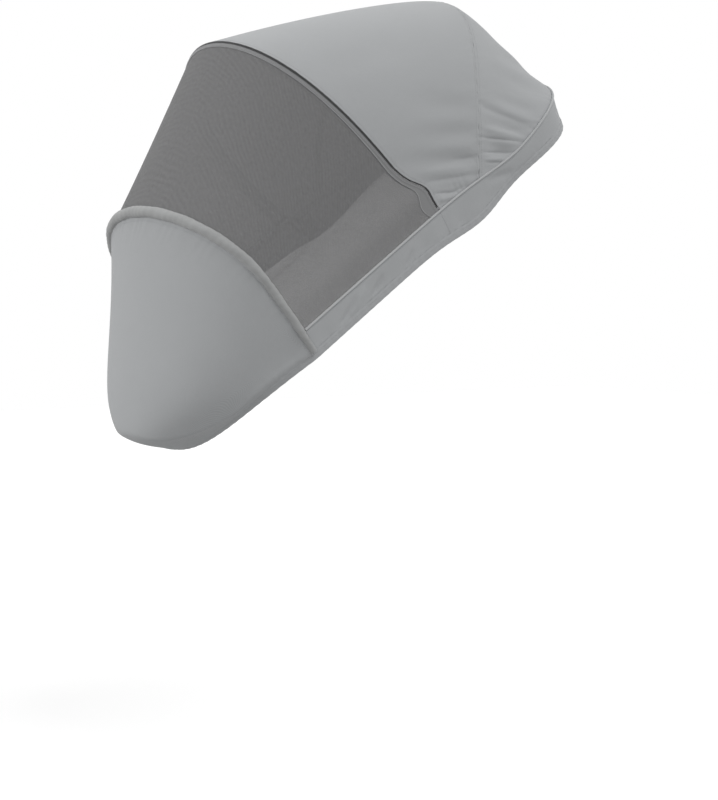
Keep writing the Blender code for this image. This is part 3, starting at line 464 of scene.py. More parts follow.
def holesGroup():
    # hexagonal holes: distance to the nearer of two offset rectangular lattices of centres
    tree, given, made = newGroup(
        "netHoles",
        {"Place": ("Vector", None), "Pitch": ("Float", 0.0014), "Hole": ("Float", 0.30),
         "Edge": ("Float", 0.06)},
        {"Thread": "Float", "Height": "Float"})
    place = scaled(given["Place"], maths("DIVIDE", 1.0, given["Pitch"]))
    cell, zero = (1.0, math.sqrt(3.0), 1.0), (0.0, 0.0, 0.0)
    half = tuple(c / 2 for c in cell)
    spots = []
    for shift in (zero, half):
        wrapped = vectorMaths("WRAP", vectorMaths("SUBTRACT", place, shift), cell, zero)
        spot = vectorMaths("SUBTRACT", wrapped, half)
        spots.append(vectorMaths("LENGTH", vectorMaths("MULTIPLY", spot, (1.0, 1.0, 0.0))))
    nearest = maths("MINIMUM", *spots)
    hole, edge = given["Hole"], given["Edge"]
    thread = addNode("MapRange", {"Value": nearest, "From Min": maths("SUBTRACT", hole, edge),
                                  "From Max": maths("ADD", hole, edge)},
                     interpolation_type="SMOOTHSTEP")[0]
    setSockets(made, {"Thread": thread, "Height": times(thread, nearest)})
    return tree


weave, holes = weaveGroup(), holesGroup()


def newMaterial(name, values):
    made = bpy.data.materials.new(name)
    made.use_nodes = True
    shader = made.node_tree.nodes["Principled BSDF"].inputs
    setSockets(shader, values)
    return made, made.node_tree, shader


def wovenMaterial(name, colour, thread=0.0005, contrast=0.25, bump=0.4, sheen=0.15):
    # the plain weave on the piece's own UV, in metres
    made, tree, shader = newMaterial(name, {"Roughness": 0.85, "Sheen Weight": sheen,
                                            "Sheen Roughness": 0.5, "Specular IOR Level": 0.25})
    place = addNode("UVMap", {}, tree, uv_map="metres")[0]
    look = addNode("Group", {"Place": place, "Thread": thread, "Colour": (*colour, 1.0),
                             "Contrast": contrast}, node_tree=weave)
    setSockets(shader, {"Base Color": look["Colour"], "Roughness": look["Roughness"],
                        "Normal": bumpOf(look["Height"], bump, thread * 0.4)})
    return made


knit = {"colour": (0.195, 0.195, 0.197), "pitch": 0.0014, "hole": 0.19, "roughness": 0.8,
        "patches": 0.3, "patchScale": 220.0, "wale": 0.0038, "wander": 22.0,
        "driftScale": 14.0, "waleDepth": 0.06}


def netMaterial(name):
    # the holes on the piece's own UV, in metres
    made, tree, shader = newMaterial(name, {"Roughness": knit["roughness"],
                                            "Specular IOR Level": 0.3})
    place = addNode("UVMap", {}, tree, uv_map="metres")[0]
    mesh = addNode("Group", {"Place": place, "Pitch": knit["pitch"], "Hole": knit["hole"]},
                   node_tree=holes)
    # the knit's wales run over the arch as fine light and dark lines, a little uneven
    where = addNode("TexCoord", {}, tree)["Object"]
    drift = noiseOf(where, knit["driftScale"])
    turns = timesPlus(addNode("SeparateXYZ", {0: where})["Y"], 2 * pi / knit["wale"],
                      times(drift, knit["wander"]))
    wale = times(maths("SINE", turns), times(drift, knit["waleDepth"]))
    patches = timesPlus(noiseOf(place, knit["patchScale"]), knit["patches"],
                        1 - knit["patches"] / 2)
    setSockets(shader, {"Base Color": scaled(knit["colour"], maths("ADD", patches, wale)),
                        "Alpha": mesh["Thread"],
                        "Normal": bumpOf(mesh["Height"], 0.5, knit["pitch"] * 0.3)})
    return made


def speckledMaterial(name, colour, roughness, scale, depth=0.0, metallic=0.0, spread=0.15):
    # one noise over Object coordinates for its colour, roughness and bumps
    made, tree, shader = newMaterial(name, {"Roughness": roughness, "Metallic": metallic})
    noise = noiseOf(addNode("TexCoord", {}, tree)["Object"], scale, 3.0)
    bright = timesPlus(noise, 2 * spread, 1.0 - spread)
    setSockets(shader, {"Base Color": scaled(colour, bright),
                        "Roughness": timesPlus(noise, 0.2, roughness - 0.1, clamp=True)})
    if depth:
        setSockets(shader, {"Normal": bumpOf(noise, 0.5, depth)})
    return made


# woven: colour, thread, contrast, bump and sheen; speckled: colour, roughness, scale of the
# noise, depth of its bumps and metal
woven = {"canopyCloth": [(0.39, 0.40, 0.408)],
         "canopyLining": [(0.30, 0.30, 0.305), 0.0005, 0.15],
         "facingCloth": [(0.235, 0.237, 0.24), 0.0004],
         "pipingCloth": [(0.46, 0.47, 0.475), 0.0004, 0.25, 0.4, 0.2],
         "rimCloth": [(0.345, 0.35, 0.35), 0.0004, 0.25, 0.4, 0.2],
         "innerTape": [(0.17, 0.17, 0.172), 0.0006, 0.4],
         # the zip tapes are near black: partly their own dark colour, partly painted shade for the
         # shadow inside the canopy's rim
         "darkZipTapeAndShade": [(0.018, 0.018, 0.019), 0.0006, 0.5],
         "greyWebbing": [(0.115, 0.115, 0.12), 0.0011, 0.6, 0.8]}
speckled = {"greyThread": [(0.36, 0.368, 0.376), 0.7, 2500.0],
            "paleThread": [(0.46, 0.465, 0.47), 0.7, 2500.0],
            "zipNylon": [(0.13, 0.13, 0.133), 0.4, 900.0],
            "darkMetal": [(0.22, 0.22, 0.23), 0.38, 700.0, 0.00004, 1.0],
            "rodPlastic": [(0.75, 0.75, 0.70), 0.4, 300.0],
            "elasticRubber": [(0.045, 0.045, 0.045), 0.8, 1500.0, 0.0001],
            "hookPlush": [(0.05, 0.05, 0.05), 0.7, 1200.0, 0.0002],
            "loopPlush": [(0.07, 0.07, 0.07), 0.95, 1500.0, 0.0003]}
finishes = {name: wovenMaterial(name, *look) for name, look in woven.items()}
finishes["netThread"] = netMaterial("netThread")
for name, look in speckled.items():
    finishes[name] = speckledMaterial(name, *look)
print("materials made:", len(bpy.data.materials))


# Meshes

def newObject(name, data):
    made = bpy.data.objects.new(name, data)
    bpy.context.scene.collection.objects.link(made)
    return made


def gridFaces(rows, columns, closed=False, looped=False):
    # quads between neighbours, also from the last column or row back to the first
    place = np.arange(rows * columns).reshape(rows, columns)
    if closed:
        place = np.concatenate([place, place[:, :1]], axis=1)
    if looped:
        place = np.concatenate([place, place[:1]])
    return np.stack([place[:-1, :-1], place[:-1, 1:], place[1:, 1:], place[1:, :-1]],
                    axis=-1).reshape(-1, 4)


def meshPiece(name, points, faces, looks, uv=None):
    # points in seat coordinates and their faces become a smooth mesh in the row frame
    mesh = bpy.data.meshes.new(name)
    mesh.from_pydata(toRow(points).reshape(-1, 3), [], faces)
    if uv is not None:
        corners = np.empty(len(mesh.loops), dtype=np.int32)
        mesh.loops.foreach_get("vertex_index", corners)
        flat = uv.reshape(-1, 2)[corners].astype(np.float32).ravel()
        mesh.uv_layers.new(name="metres").data.foreach_set("uv", flat)
    for look in looks:
        mesh.materials.append(finishes[look])
    mesh.shade_smooth()
    return newObject(name, mesh)


def clothPiece(name, grid, thickness, outer, inner=None):
    # a grid in seat coordinates and its normals make two faces half a thickness out and in, with
    # a rim between them; the UV is the run across and down, in metres
    rows, columns = grid.shape[:2]
    across = runAlong(turned(grid)).T
    uv = np.stack([across - across[:, columns // 2][:, None], runAlong(grid)], axis=-1)
    lift = outwardNormals(grid) * thickness / 2
    count = rows * columns
    sheetFaces = gridFaces(rows, columns)
    place = np.arange(count).reshape(rows, columns)
    edge = np.concatenate([place[0, :-1], place[:-1, -1], place[-1, :0:-1], place[:0:-1, 0]])
    ahead = np.roll(edge, -1)
    rimFaces = np.stack([edge, ahead, ahead + count, edge + count], axis=1)
    faces = np.concatenate([sheetFaces[:, ::-1], sheetFaces + count, rimFaces])
    if np.sum(np.cross(grid[0, 1] - grid[0, 0], grid[1, 0] - grid[0, 0]) * lift[0, 0]) > 0:
        faces = faces[:, ::-1]
    piece = meshPiece(name, np.stack([grid + lift, grid - lift]), faces.tolist(),
                      [outer, inner or outer], np.stack([uv, uv]))
    kinds = np.zeros(len(faces), dtype=np.int32)
    kinds[len(sheetFaces):2 * len(sheetFaces)] = 1
    piece.data.polygons.foreach_set("material_index", kinds)
    piece.data.set_sharp_from_angle(angle=math.radians(50))
    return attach(piece, "cover")


def turnOut(mesh, openSides=0):
    # open ends with that many sides are filled, then all faces point out
    work = bmesh.new()
    work.from_mesh(mesh)
    if openSides:
        rims = [edge for edge in work.edges if edge.is_boundary]
        bmesh.ops.holes_fill(work, edges=rims, sides=openSides)
    bmesh.ops.recalc_face_normals(work, faces=work.faces)
    work.to_mesh(mesh)
    work.free()


def sweptPiece(name, rings, finish, closed=False, body="cover"):
    # a tube through rings of points in seat coordinates, with its ends filled or joined
    count, around = rings.shape[:2]
    girth = runAlong(turned(np.concatenate([rings, rings[:, :1]], axis=1))).T[:, :-1]
    along = np.broadcast_to(runAlong(rings.mean(axis=1))[:, None], (count, around))
    faces = gridFaces(count, around, closed=True, looped=closed).tolist()
    piece = meshPiece(name, rings, faces, [finish], np.stack([along, girth], axis=-1))
    turnOut(piece.data, 0 if closed else around)
    piece.data.set_sharp_from_angle(angle=math.radians(50))
    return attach(piece, body)


def repeatedPiece(name, rings, finish):
    # many small closed tubes in one mesh: rings is (pieces, rings, points around, 3)
    count, rows, around = rings.shape[:3]
    shift = np.arange(count)[:, None, None] * rows * around
    sides = (gridFaces(rows, around, closed=True)[None] + shift).reshape(-1, 4)
    ring = np.arange(around)
    ends = np.stack([ring[::-1], ring + (rows - 1) * around])
    ends = (ends[None] + shift).reshape(-1, around)
    piece = meshPiece(name, rings, sides.tolist() + ends.tolist(), [finish])
    turnOut(piece.data)
    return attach(piece, "cover")


def standIn(piece, node):
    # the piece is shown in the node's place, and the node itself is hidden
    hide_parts(node)
    return piece


def panelPiece(name, node, grid):
    piece = clothPiece(name, grid, cloth["thickness"], "canopyCloth", "canopyLining")
    return standIn(piece, node)


# How cloth lies at its seams

def edgeDistances(grid):
    # distance down from the first row, up from the last, in from the nearer side, and along
    down = runAlong(grid)
    across = runAlong(turned(grid)).T
    return down, down[-1] - down, np.minimum(across, across[:, -1:] - across), across


def tuck(distance, depth, reach):
    # a bell-shaped dip at an edge
    return -depth * bell(distance, 0.0, reach)


def doubled(distance, width, rise, step=0.002):
    # cloth folded under along an edge stands up by its thickness, with a soft step
    return rise * (1 - smooth((distance - width) / step))


def puckers(along, distance, pitch, depth, reach, wander=0.35, drift=3.7):
    # a sine along the seam, its phase wandering, dying out away from the seam
    phase = along / pitch + wander * np.sin(2 * pi * along / (drift * pitch))
    return depth * np.sin(2 * pi * phase) * np.exp(-distance / reach)


def creased(grid, creases, wallFrom=0.09, wallReach=0.06, farShare=0.7):
    # ridges on the side walls: each is a straight line in (s, n) with a bell-shaped section
    # that fades towards both ends, fainter on the -X side
    s, n = grid[..., 1], grid[..., 2]
    wall = smooth((np.abs(grid[..., 0]) - wallFrom) / wallReach)
    wall = wall * np.where(grid[..., 0] > 0, 1.0, farShare)
    amount = np.zeros_like(s)
    for crease in creases:
        startS, startN, endS, endN, depth, width = np.array(crease) / 1000  # to metres
        length = math.hypot(endS - startS, endN - startN)
        alongS, alongN = (endS - startS) / length, (endN - startN) / length
        part = ((s - startS) * alongS + (n - startN) * alongN) / length
        away = (n - startN) * alongS - (s - startS) * alongN
        amount += depth * np.sin(pi * np.clip(part, 0.0, 1.0)) * bell(away, 0.0, width)
    return amount * wall


stitch = {"length": 0.0027, "pitch": 0.0036, "radius": 0.00024, "rise": 0.00012, "points": 7,
          "dive": 1.6, "taper": 0.85}


def stitchRow(name, line, normals):
    # thread lies as short arcs whose ends dive into the cloth: height = rise - dip t^4
    run = runAlong(line)
    centres = np.arange(stitch["pitch"], run[-1] - stitch["pitch"], stitch["pitch"])
    t = np.linspace(-1.0, 1.0, stitch["points"])
    stations = (centres[:, None] + t * stitch["length"] / 2).ravel()
    points = pointsAt(line, stations).reshape(-1, len(t), 3)
    normal = unit(carried(normals, run, stations)).reshape(points.shape)
    side = np.cross(normal, unit(np.gradient(points, axis=1)))
    height = stitch["rise"] - (stitch["rise"] + stitch["radius"] * stitch["dive"]) * t ** 4
    radius = stitch["radius"] * np.sqrt(1 - stitch["taper"] * t ** 6)
    points = points + normal * height[None, :, None]
    ring = ringAround(side, normal, roundAngles(6)) * radius[None, :, None, None]
    return repeatedPiece(name, points[:, :, None] + ring, "greyThread")


def stitchedEdge(name, grid, distance, thickness=cloth["thickness"]):
    # stitches on a panel's outer face, at a distance from its first row
    run = runAlong(grid)
    line = cutBack(grid, distance, run[-1] - distance - 0.0002, rows=2)[0]
    row = np.clip((run <= distance).sum(axis=0) - 1, 0, len(grid) - 1)
    normal = np.take_along_axis(outwardNormals(grid), row[None, :, None], axis=0)[0]
    return stitchRow(name, line + normal * thickness / 2, normal)


# Canopy. A crease is (start s, start n, end s, end n, height, half width) in mm, and puckers
# are (pitch, depth, reach)

canopy = {"rows": 91, "zipEdge": 0.0018, "seamGap": 0.0004, "fold": (0.0065, 0.00015),
          "stitchAt": 0.0045, "seamDip": (0.0005, 0.0012), "creaseFade": 0.009,
          "pipingDip": (piped["tuckAbove"], piped["tuckReach"]),
          "zipPuckers": (0.013, 0.0002, 0.012), "bowPuckers": (0.015, 0.0002, 0.014),
          "sidePuckers": (0.012, 0.0003, 0.016), "rearBowPuckers": (0.014, 0.0002, 0.014),
          "rearPuckers": (0.016, 0.0003, 0.016)}
topCreases = [
    (-4, 88, 94, 40, -2.2, 4.5), (0, 100, 100, 50, 1.4, 5), (2, 68, 54, 37, -1.8, 2.4),
    (26, 53, 78, 36, -1.5, 2.2), (2, 58, 50, 34, 1.4, 2.4), (4, 50, 36, 37, -1.2, 1.8),
    (54, 85, 98, 62, -1.1, 3.2), (-10, 118, 85, 78, -1.4, 11), (30, 190, 130, 120, -1.6, 15),
    (-20, 270, 110, 225, -1.4, 16)]
rearCreases = [
    (128, 128, 206, 32, -2.8, 6), (116, 96, 182, 32, 2, 4), (104, 88, 172, 36, -2, 2.4),
    (98, 68, 152, 32, -1.9, 2.4), (96, 58, 136, 33, 1.2, 2.2), (98, 52, 130, 32, -1.2, 2),
    (172, 132, 250, 48, -2.2, 10)]


def makeTop():
    grid = cutBack(topSurface(cloth["columns"]), canopy["zipEdge"], canopy["seamGap"],
                   canopy["rows"])
    down, up, side, across = edgeDistances(grid)
    amount = doubled(down, *canopy["fold"]) + doubled(up, *canopy["fold"])
    amount += tuck(up, *canopy["seamDip"]) + tuck(side, *canopy["pipingDip"])
    amount += puckers(across, down, *canopy["zipPuckers"])
    amount += puckers(across, up, *canopy["bowPuckers"])
    amount += puckers(down, side, *canopy["sidePuckers"])
    amount += creased(grid, topCreases) * smooth(side / canopy["creaseFade"])
    grid = raised(grid, amount)
    piece = panelPiece("canopy_top_cloth", "canopy_top_panel", grid)
    rows = [stitchedEdge("canopy_rim_stitches", grid, canopy["stitchAt"]),
            stitchedEdge("bow_front_stitches", grid[::-1], canopy["stitchAt"])]
    return piece, grid, rows


def makeRear():
    grid = cutBack(rearSurface(cloth["columns"]), canopy["seamGap"], 0.0, canopy["rows"])
    down, up, side, across = edgeDistances(grid)
    amount = doubled(down, *canopy["fold"]) + tuck(down, *canopy["seamDip"])
    amount += tuck(up, *canopy["pipingDip"]) + puckers(across, down, *canopy["rearBowPuckers"])
    amount += puckers(across, up, *canopy["rearPuckers"])
    amount += creased(grid, rearCreases) * smooth(up / canopy["creaseFade"])
    grid = raised(grid, amount)
    piece = panelPiece("canopy_rear_cloth", "canopy_rear_panel", grid)
    return piece, grid, [stitchedEdge("bow_rear_stitches", grid, canopy["stitchAt"])]


binding = {"width": 0.0120, "slack": 1.1, "inside": 0.0016, "columns": 241}


def bandUnder(surface, start, width):
    # the strip between two distances from the first row, moved to the inside of the cloth
    strip = cutBack(surface, start, runAlong(surface)[-1] - start - width, 7)
    return strip - outwardNormals(strip) * binding["inside"]


def makeBinding():
    # a strip under each side of the bow seam, joined along a middle line that hangs below it
    columns, half = binding["columns"], binding["width"] / 2
    ahead = bandUnder(topSurface(columns)[::-1], 0.0, half)
    behind = bandUnder(rearSurface(columns), 0.0, half)
    middle = mix(crowded(arch(bow), columns), (ahead[0] + behind[0]) / 2, binding["slack"])
    grid = np.concatenate([ahead[:0:-1], middle[None], behind[1:]])
    piece = clothPiece("bow_seam_tape", grid, cloth["tape"], "innerTape")
    standIn(piece, "bow_seam_binding")


# Net window and the cloth facing along its zipped edge

net = {"thickness": 0.0004, "rows": 41, "zipEdge": 0.0018, "frontEdge": 0.004, "facing": 0.0005,
       "facingRows": 15, "facingTop": 0.0066, "facingLow": 0.0105, "facingReach": 0.24,
       "slack": 0.0110, "slackHeight": 0.060, "slackReach": 0.020, "clear": 0.00005,
       "puckers": (0.012, 0.0001, 0.006), "fold": (0.003, 0.0003), "stitchAt": 0.0030,
       "puckerFade": 0.003, "least": 0.002, "edgePitch": 0.0011, "edgeWire": 0.0003,
       "edgeReach": 0.0004, "edgePoints": 8}


def makeNet():
    surface = netSurface(cloth["columns"])
    grid = cutBack(surface, net["zipEdge"], net["frontEdge"], net["rows"])
    piece = clothPiece("net_cloth", grid, net["thickness"], "netThread")
    standIn(piece, "net_window")

    # the facing widens down both legs by a smooth step of their height, and by a bell where the
    # +X leg hangs slack, so that its free edge stays straight
    height = surface[0, :, 2]
    low = 1 - smooth((height - piped["height"]) / net["facingReach"])
    slack = net["slack"] * bell(height, net["slackHeight"], net["slackReach"])
    width = mix(net["facingTop"], net["facingLow"], low) + slack * (surface[0, :, 0] > 0)
    total = runAlong(surface)[-1]
    strip = cutBack(surface, net["zipEdge"], np.maximum(total - width, net["least"]),
                    net["facingRows"])
    down, up, side, across = edgeDistances(strip)
    amount = (net["thickness"] + net["facing"]) / 2 + net["clear"]
    amount = amount + puckers(across, up, *net["puckers"]) * smooth(up / net["puckerFade"])
    strip = raised(strip, amount + doubled(down, *net["fold"]))
    facing = clothPiece("net_edge_facing", strip, net["facing"], "facingCloth")
    return piece, grid, [stitchedEdge("facing_zip_stitches", strip, net["stitchAt"],
                                      net["facing"]), overlock("facing_overlock", strip)]


def overlock(name, grid):
    # thread wound round the last row's edge: the edge + reach (cos a along the cloth + sin a out)
    edge, run = grid[-1], runAlong(grid[-1])
    count = int(run[-1] / net["edgePitch"]) * net["edgePoints"]
    stations = np.linspace(0.0, run[-1], count)
    angle = np.arange(count) * 2 * pi / net["edgePoints"]
    line, normal, aside = [carried(values, run, stations) for values in
                           (edge, outwardNormals(grid)[-1], unit(edge - grid[-2]))]
    radial = aside * np.cos(angle)[:, None] + normal * np.sin(angle)[:, None]
    line = line + (radial - aside) * net["edgeReach"]
    return sweptPiece(name, wireRings(line, radial, net["edgeWire"]), "paleThread")


# Front panel with its padded rim

front = {"rows": 141, "stitchAt": 0.0095, "rimEdge": 0.002, "edgeHigh": 0.0665,
         "edgeLow": 0.0115, "edgePower": 3.2, "edgeRise": 0.0060, "edgeReach": 0.017,
         "edgeRound": (0.003, 0.006, 0.08), "hollow": (0.5, 0.05), "edgeFade": 0.012,
         "swell": 0.9, "swellFrom": 0.07, "swellReach": (2.6, 0.8), "levelReach": 0.02,
         "dive": 0.0012, "diveReach": 0.0025, "rimPuckers": (0.017, 0.0003, 0.018),
         "hemPuckers": (0.016, 0.0002, 0.010)}


def underEdge(grid, up):
    # where the panel turns under it has a soft ridge: its height above the hem falls off with x
    # as a power of 1 - (x / half width)^2, and its section is rise exp(-distance / reach), less
    # a wider bell
    x, reach = grid[..., 0], front["edgeReach"]
    nearRound, farRound, roundFrom = front["edgeRound"]
    share = np.clip(1 - (x / seat["halfWidth"]) ** 2, 0.0, 1.0)
    place = front["edgeLow"] + front["edgeHigh"] * share ** front["edgePower"]
    offset = up + hemCut - place
    away = np.sqrt(offset ** 2 + mix(nearRound, farRound, smooth(-x / roundFrom)) ** 2)
    ridge = np.exp(-away / reach) - front["hollow"][0] * bell(away, 0.0, front["hollow"][1])
    # the +X side, where the photo shows it, swells over a longer slope above the ridge
    reach = reach * np.where(offset > 0, *front["swellReach"])
    ridge += smooth(x / front["swellFrom"]) * share * front["swell"] * np.exp(-away / reach)
    return front["edgeRise"] * ridge * smooth(up / front["edgeFade"])


def makeFront():
    grid = frontSurface(cloth["columns"] + 2)[:, 1:-1]
    grid = cutBack(grid, front["rimEdge"], hemCut, front["rows"])
    down, up, side, across = edgeDistances(grid)
    amount = puckers(across, down, *front["rimPuckers"])
    amount += puckers(across, up, *front["hemPuckers"]) + underEdge(grid, up)
    # the panel swells level with the hem's outer face, and its edge dives under it
    amount += (hemHalf - cloth["thickness"] / 2) * (1 - smooth(up / front["levelReach"]))
    amount -= front["dive"] * (1 - smooth(up / front["diveReach"]))
    grid = raised(grid, amount)
    piece = panelPiece("front_cloth", "front_panel", grid)
    return piece, grid, [stitchedEdge("front_rim_stitches", grid, front["stitchAt"])]


sleeve = {"gather": 0.00018, "gatherPitch": 0.011, "wander": (0.4, 0.013), "wave": 0.00025,
          "wavePitch": 0.047, "fade": 0.01, "fill": 0.8, "points": 421, "around": 28}


def makeSleeve():
    # a round tube of cloth whose radius swells to the crest, gathered a little along its length
    line = evenly(sleeveLine(), sleeve["points"])
    lengthwise = np.array([0.0, frontRim["apexN"] - piped["height"],
                           frontRim["footS"] - frontRim["apexS"]])
    angle = roundAngles(sleeve["around"])
    ring = ringAround(*framesAlong(line, lengthwise), angle)
    run = runAlong(line)[:, None]
    wander, reach = sleeve["wander"]
    gathers = run / sleeve["gatherPitch"] + wander * np.sin(run / reach)
    ripple = (sleeve["gather"] * np.sin(2 * pi * gathers + angle)
              + sleeve["wave"] * np.sin(2 * pi * run / sleeve["wavePitch"] + 2 * angle))
    fade = np.minimum(1.0, np.minimum(run, run[-1] - run) / sleeve["fade"])
    rings = line[:, None] + ring * (sleeveRadius(line)[:, None] + ripple * fade)[..., None]
    piece = sweptPiece("rim_sleeve_cloth", rings, "rimCloth")
    standIn(piece, "front_rim_sleeve")


# Piping, with the tape that binds its seam inside

seamTape = {"top": -0.001, "low": -0.009, "inside": 0.0022, "lean": 0.4, "thickness": 0.0005}


def makePiping():
    # a round cord beside the front rim's foot and round the head end, its radius rippled a little
    start = frontRim["footS"] + float(sleeveRadius(sleeveLine())[1]) + frontRim["clear"]
    line = evenly(seamLine(start), piped["points"])
    outward, across = framesAlong(line, upward)
    angle = roundAngles(piped["around"])
    run = runAlong(line)[:, None]
    ripple, pitch = piped["cordRipple"]
    radius = piped["cordRadius"] * (1 + ripple * np.sin(2 * pi * run / pitch + angle))
    rings = ((line + outward * piped["proud"])[:, None]
             + ringAround(outward, across, angle) * radius[..., None])
    standIn(sweptPiece("piping_cord", rings, "pipingCloth"), "skirt_piping")

    # the tape leans in as it hangs, inside the skirt
    drop = mix(seamTape["low"], seamTape["top"], downRows(7))
    tape = line - outward * (seamTape["inside"] - seamTape["lean"] * drop) + upward * drop
    tape = clothPiece("piping_seam_tape", tape[:, ::2], seamTape["thickness"], "innerTape")
    return start


# Skirt and hem

skirt = {"rows": 25, "ripple": 0.0011, "pitch": 0.075, "slant": 0.6, "wander": (2.0, 21),
         "sideFade": 0.02, "calmFrom": 0.75, "calm": 0.8, "under": 0.0045, "underS": 0.125,
         "underReach": 0.055, "underShare": 0.8, "puckers": (0.017, 0.0002, 0.005),
         "seamGap": 0.0003, "creaseFade": (0.008, 0.006),
         "creases": [(-164, 30, -216, 10, -3, 5), (-148, 34, -200, 12, 1.8, 5),
                     (-116, 30, -152, 10, -2.4, 4.5), (-60, 28, -92, 8, -2, 4),
                     (86, 32, 140, 12, -2.2, 6)]}


def drawnUnder(s):
    # how far the elastic pulls the hem in behind the straps: a bell along the seat
    return skirt["under"] * bell(s, skirt["underS"], skirt["underReach"])


def rippled(grid):
    # soft folds that start at the piping and deepen towards the gathered hem, calmer beside it
    down, up, side, across = edgeDistances(grid)
    share, s = down / down[-1], grid[..., 1]
    wander, rate = skirt["wander"]
    wave = np.sin(2 * pi * (across + skirt["slant"] * down) / skirt["pitch"]
                  + wander * np.sin(s * rate))
    amount = skirt["ripple"] * wave * share * np.minimum(1.0, side / skirt["sideFade"])
    calm = smooth((share - skirt["calmFrom"]) / (1 - skirt["calmFrom"]))
    amount *= 1 - calm * skirt["calm"]
    amount += tuck(down, piped["tuck"], piped["tuckReach"])
    amount += puckers(across, up, *skirt["puckers"])
    low, high = skirt["creaseFade"]
    amount += creased(grid, skirt["creases"]) * smooth(up / low) * smooth(down / high)
    return raised(grid, amount - skirt["underShare"] * drawnUnder(s) * share ** 2)


def makeSkirts(start):
    # ruled from the piped seam to the hem, cut to the hem band and rippled
    joint, half = rim["footS"], seat["halfWidth"]
    bands = [(evenly(seamLine(joint), 521), evenly(hemLine(joint), 521)),
             (evenly(sideLine(half, start, joint, seamHeight), 161),
              evenly(sideLine(half - hem["inset"], start, joint, hemHeight), 161))]
    rear, side = [rippled(cutBack(ruled(*lines, 31), 0.0, hemCut, skirt["rows"]))
                  for lines in bands]
    side = turned(cutBack(turned(side), 0.0, skirt["seamGap"]))
    return [(panelPiece(name, node, grid), grid, []) for name, node, grid in
            (("rear_skirt_cloth", "rear_skirt", rear),
             ("left_skirt_cloth", "left_front_skirt", side),
             ("right_skirt_cloth", "right_front_skirt", (side * flip)[:, ::-1]))]


def hemFrames(count):
    # the hem's closed line, with the direction in which its band rises and the outward one
    head, tipLine = hemLine(frontRim["footS"]), footLine()
    tip = len(tipLine) // 2
    out = head * [1, 1, 0] - [0, headEnd["footS"], 0]
    out[:, 1] = np.clip(out[:, 1], 0.0, None)
    out = unit(out)
    inset = mix(hem["inset"], hem["headInset"], out[:, 1:2] ** 2)
    upright = unit(out * inset + (seamHeight(head[:, 1]) - head[:, 2])[:, None] * upward)
    lean = unit(hemLean(np.linspace(0.0, pi, len(tipLine))))
    loop, rising = [np.concatenate([ends[tip:0:-1], middle, ends[-2:tip:-1], ends[tip:tip + 1]])
                    for ends, middle in ((tipLine, head), (lean, upright))]
    run = runAlong(loop)
    stations = np.linspace(0.0, run[-1], count, endpoint=False)
    line, rising = pointsAt(loop, stations), carried(rising, run, stations)
    along = unit(np.roll(line, -1, axis=0) - np.roll(line, 1, axis=0))
    outward = unit(np.cross(along, rising))
    return line, np.cross(outward, along), outward


casing = {"gather": 0.0002, "pitch": 0.0135, "wander": (1.5, 0.09), "taper": 0.003,
          "skin": 0.0002, "bevel": 0.0001, "lift": 0.0003, "stitchDown": 0.0036,
          "easing": 0.25, "points": 640}


def makeHem():
    # a folded band, its elastic and its stitches: points (up, out) carried round the hem's line
    line, rising, outward = hemFrames(casing["points"])
    run = runAlong(np.concatenate([line, line[:1]]))[:-1]
    wander, reach = casing["wander"]
    gather = casing["gather"] * np.sin(2 * pi * run / casing["pitch"]
                                       + wander * np.sin(run / reach))
    under = drawnUnder(line[:, 1])

    def banded(profile, gathered):
        up, out = profile.T
        shift = under[:, None] * (1 - casing["easing"] * up / hem["band"])
        return (line[:, None] + rising[:, None] * up[:, None]
                + outward[:, None] * (out + gathered[:, None] - shift)[..., None])

    inner, edge = hemHalf - hem["ply"], hem["band"]
    a = np.linspace(pi / 2, -pi / 2, 9)
    outerFold, innerFold = [np.stack([hemHalf - r * np.cos(a), r * np.sin(a)], axis=1)
                            for r in (hemHalf, inner)]
    taper, face, skin = edge - casing["taper"], hemHalf - casing["bevel"], inner + casing["skin"]
    profile = np.concatenate([[[edge, skin], [taper, face]], outerFold,
                              [[taper, -face], [edge, -skin], [edge, -inner]], innerFold[::-1],
                              [[edge, inner]]])
    piece = sweptPiece("hem_cloth", banded(profile, gather), "canopyCloth", closed=True)
    standIn(piece, "hem_casing")

    low, flat = hem["ply"] + casing["lift"], hem["elastic"] / 2
    high = low + hem["elasticWidth"]
    profile = np.array([(low, -flat), (low, flat), (high, flat), (high, -flat)])
    piece = sweptPiece("hem_elastic_band", banded(profile, gather * 0), "elasticRubber",
                       closed=True)
    standIn(piece, "hem_elastic")

    seam = (line + rising * (edge - casing["stitchDown"])
            + outward * (face + gather - under * skirt["underShare"])[:, None])
    stitchRow("hem_stitches", np.concatenate([seam, seam[:1]]),
              np.concatenate([outward, outward[:1]]))


# Zip

zipper = {"tapeStart": 0.0002, "tapeWidth": 0.0110, "ends": 0.0062, "pitch": 0.0013,
          "wire": 0.00026, "middle": 0.00075, "reach": 0.00085, "depth": 0.00075,
          "turnPoints": 8}


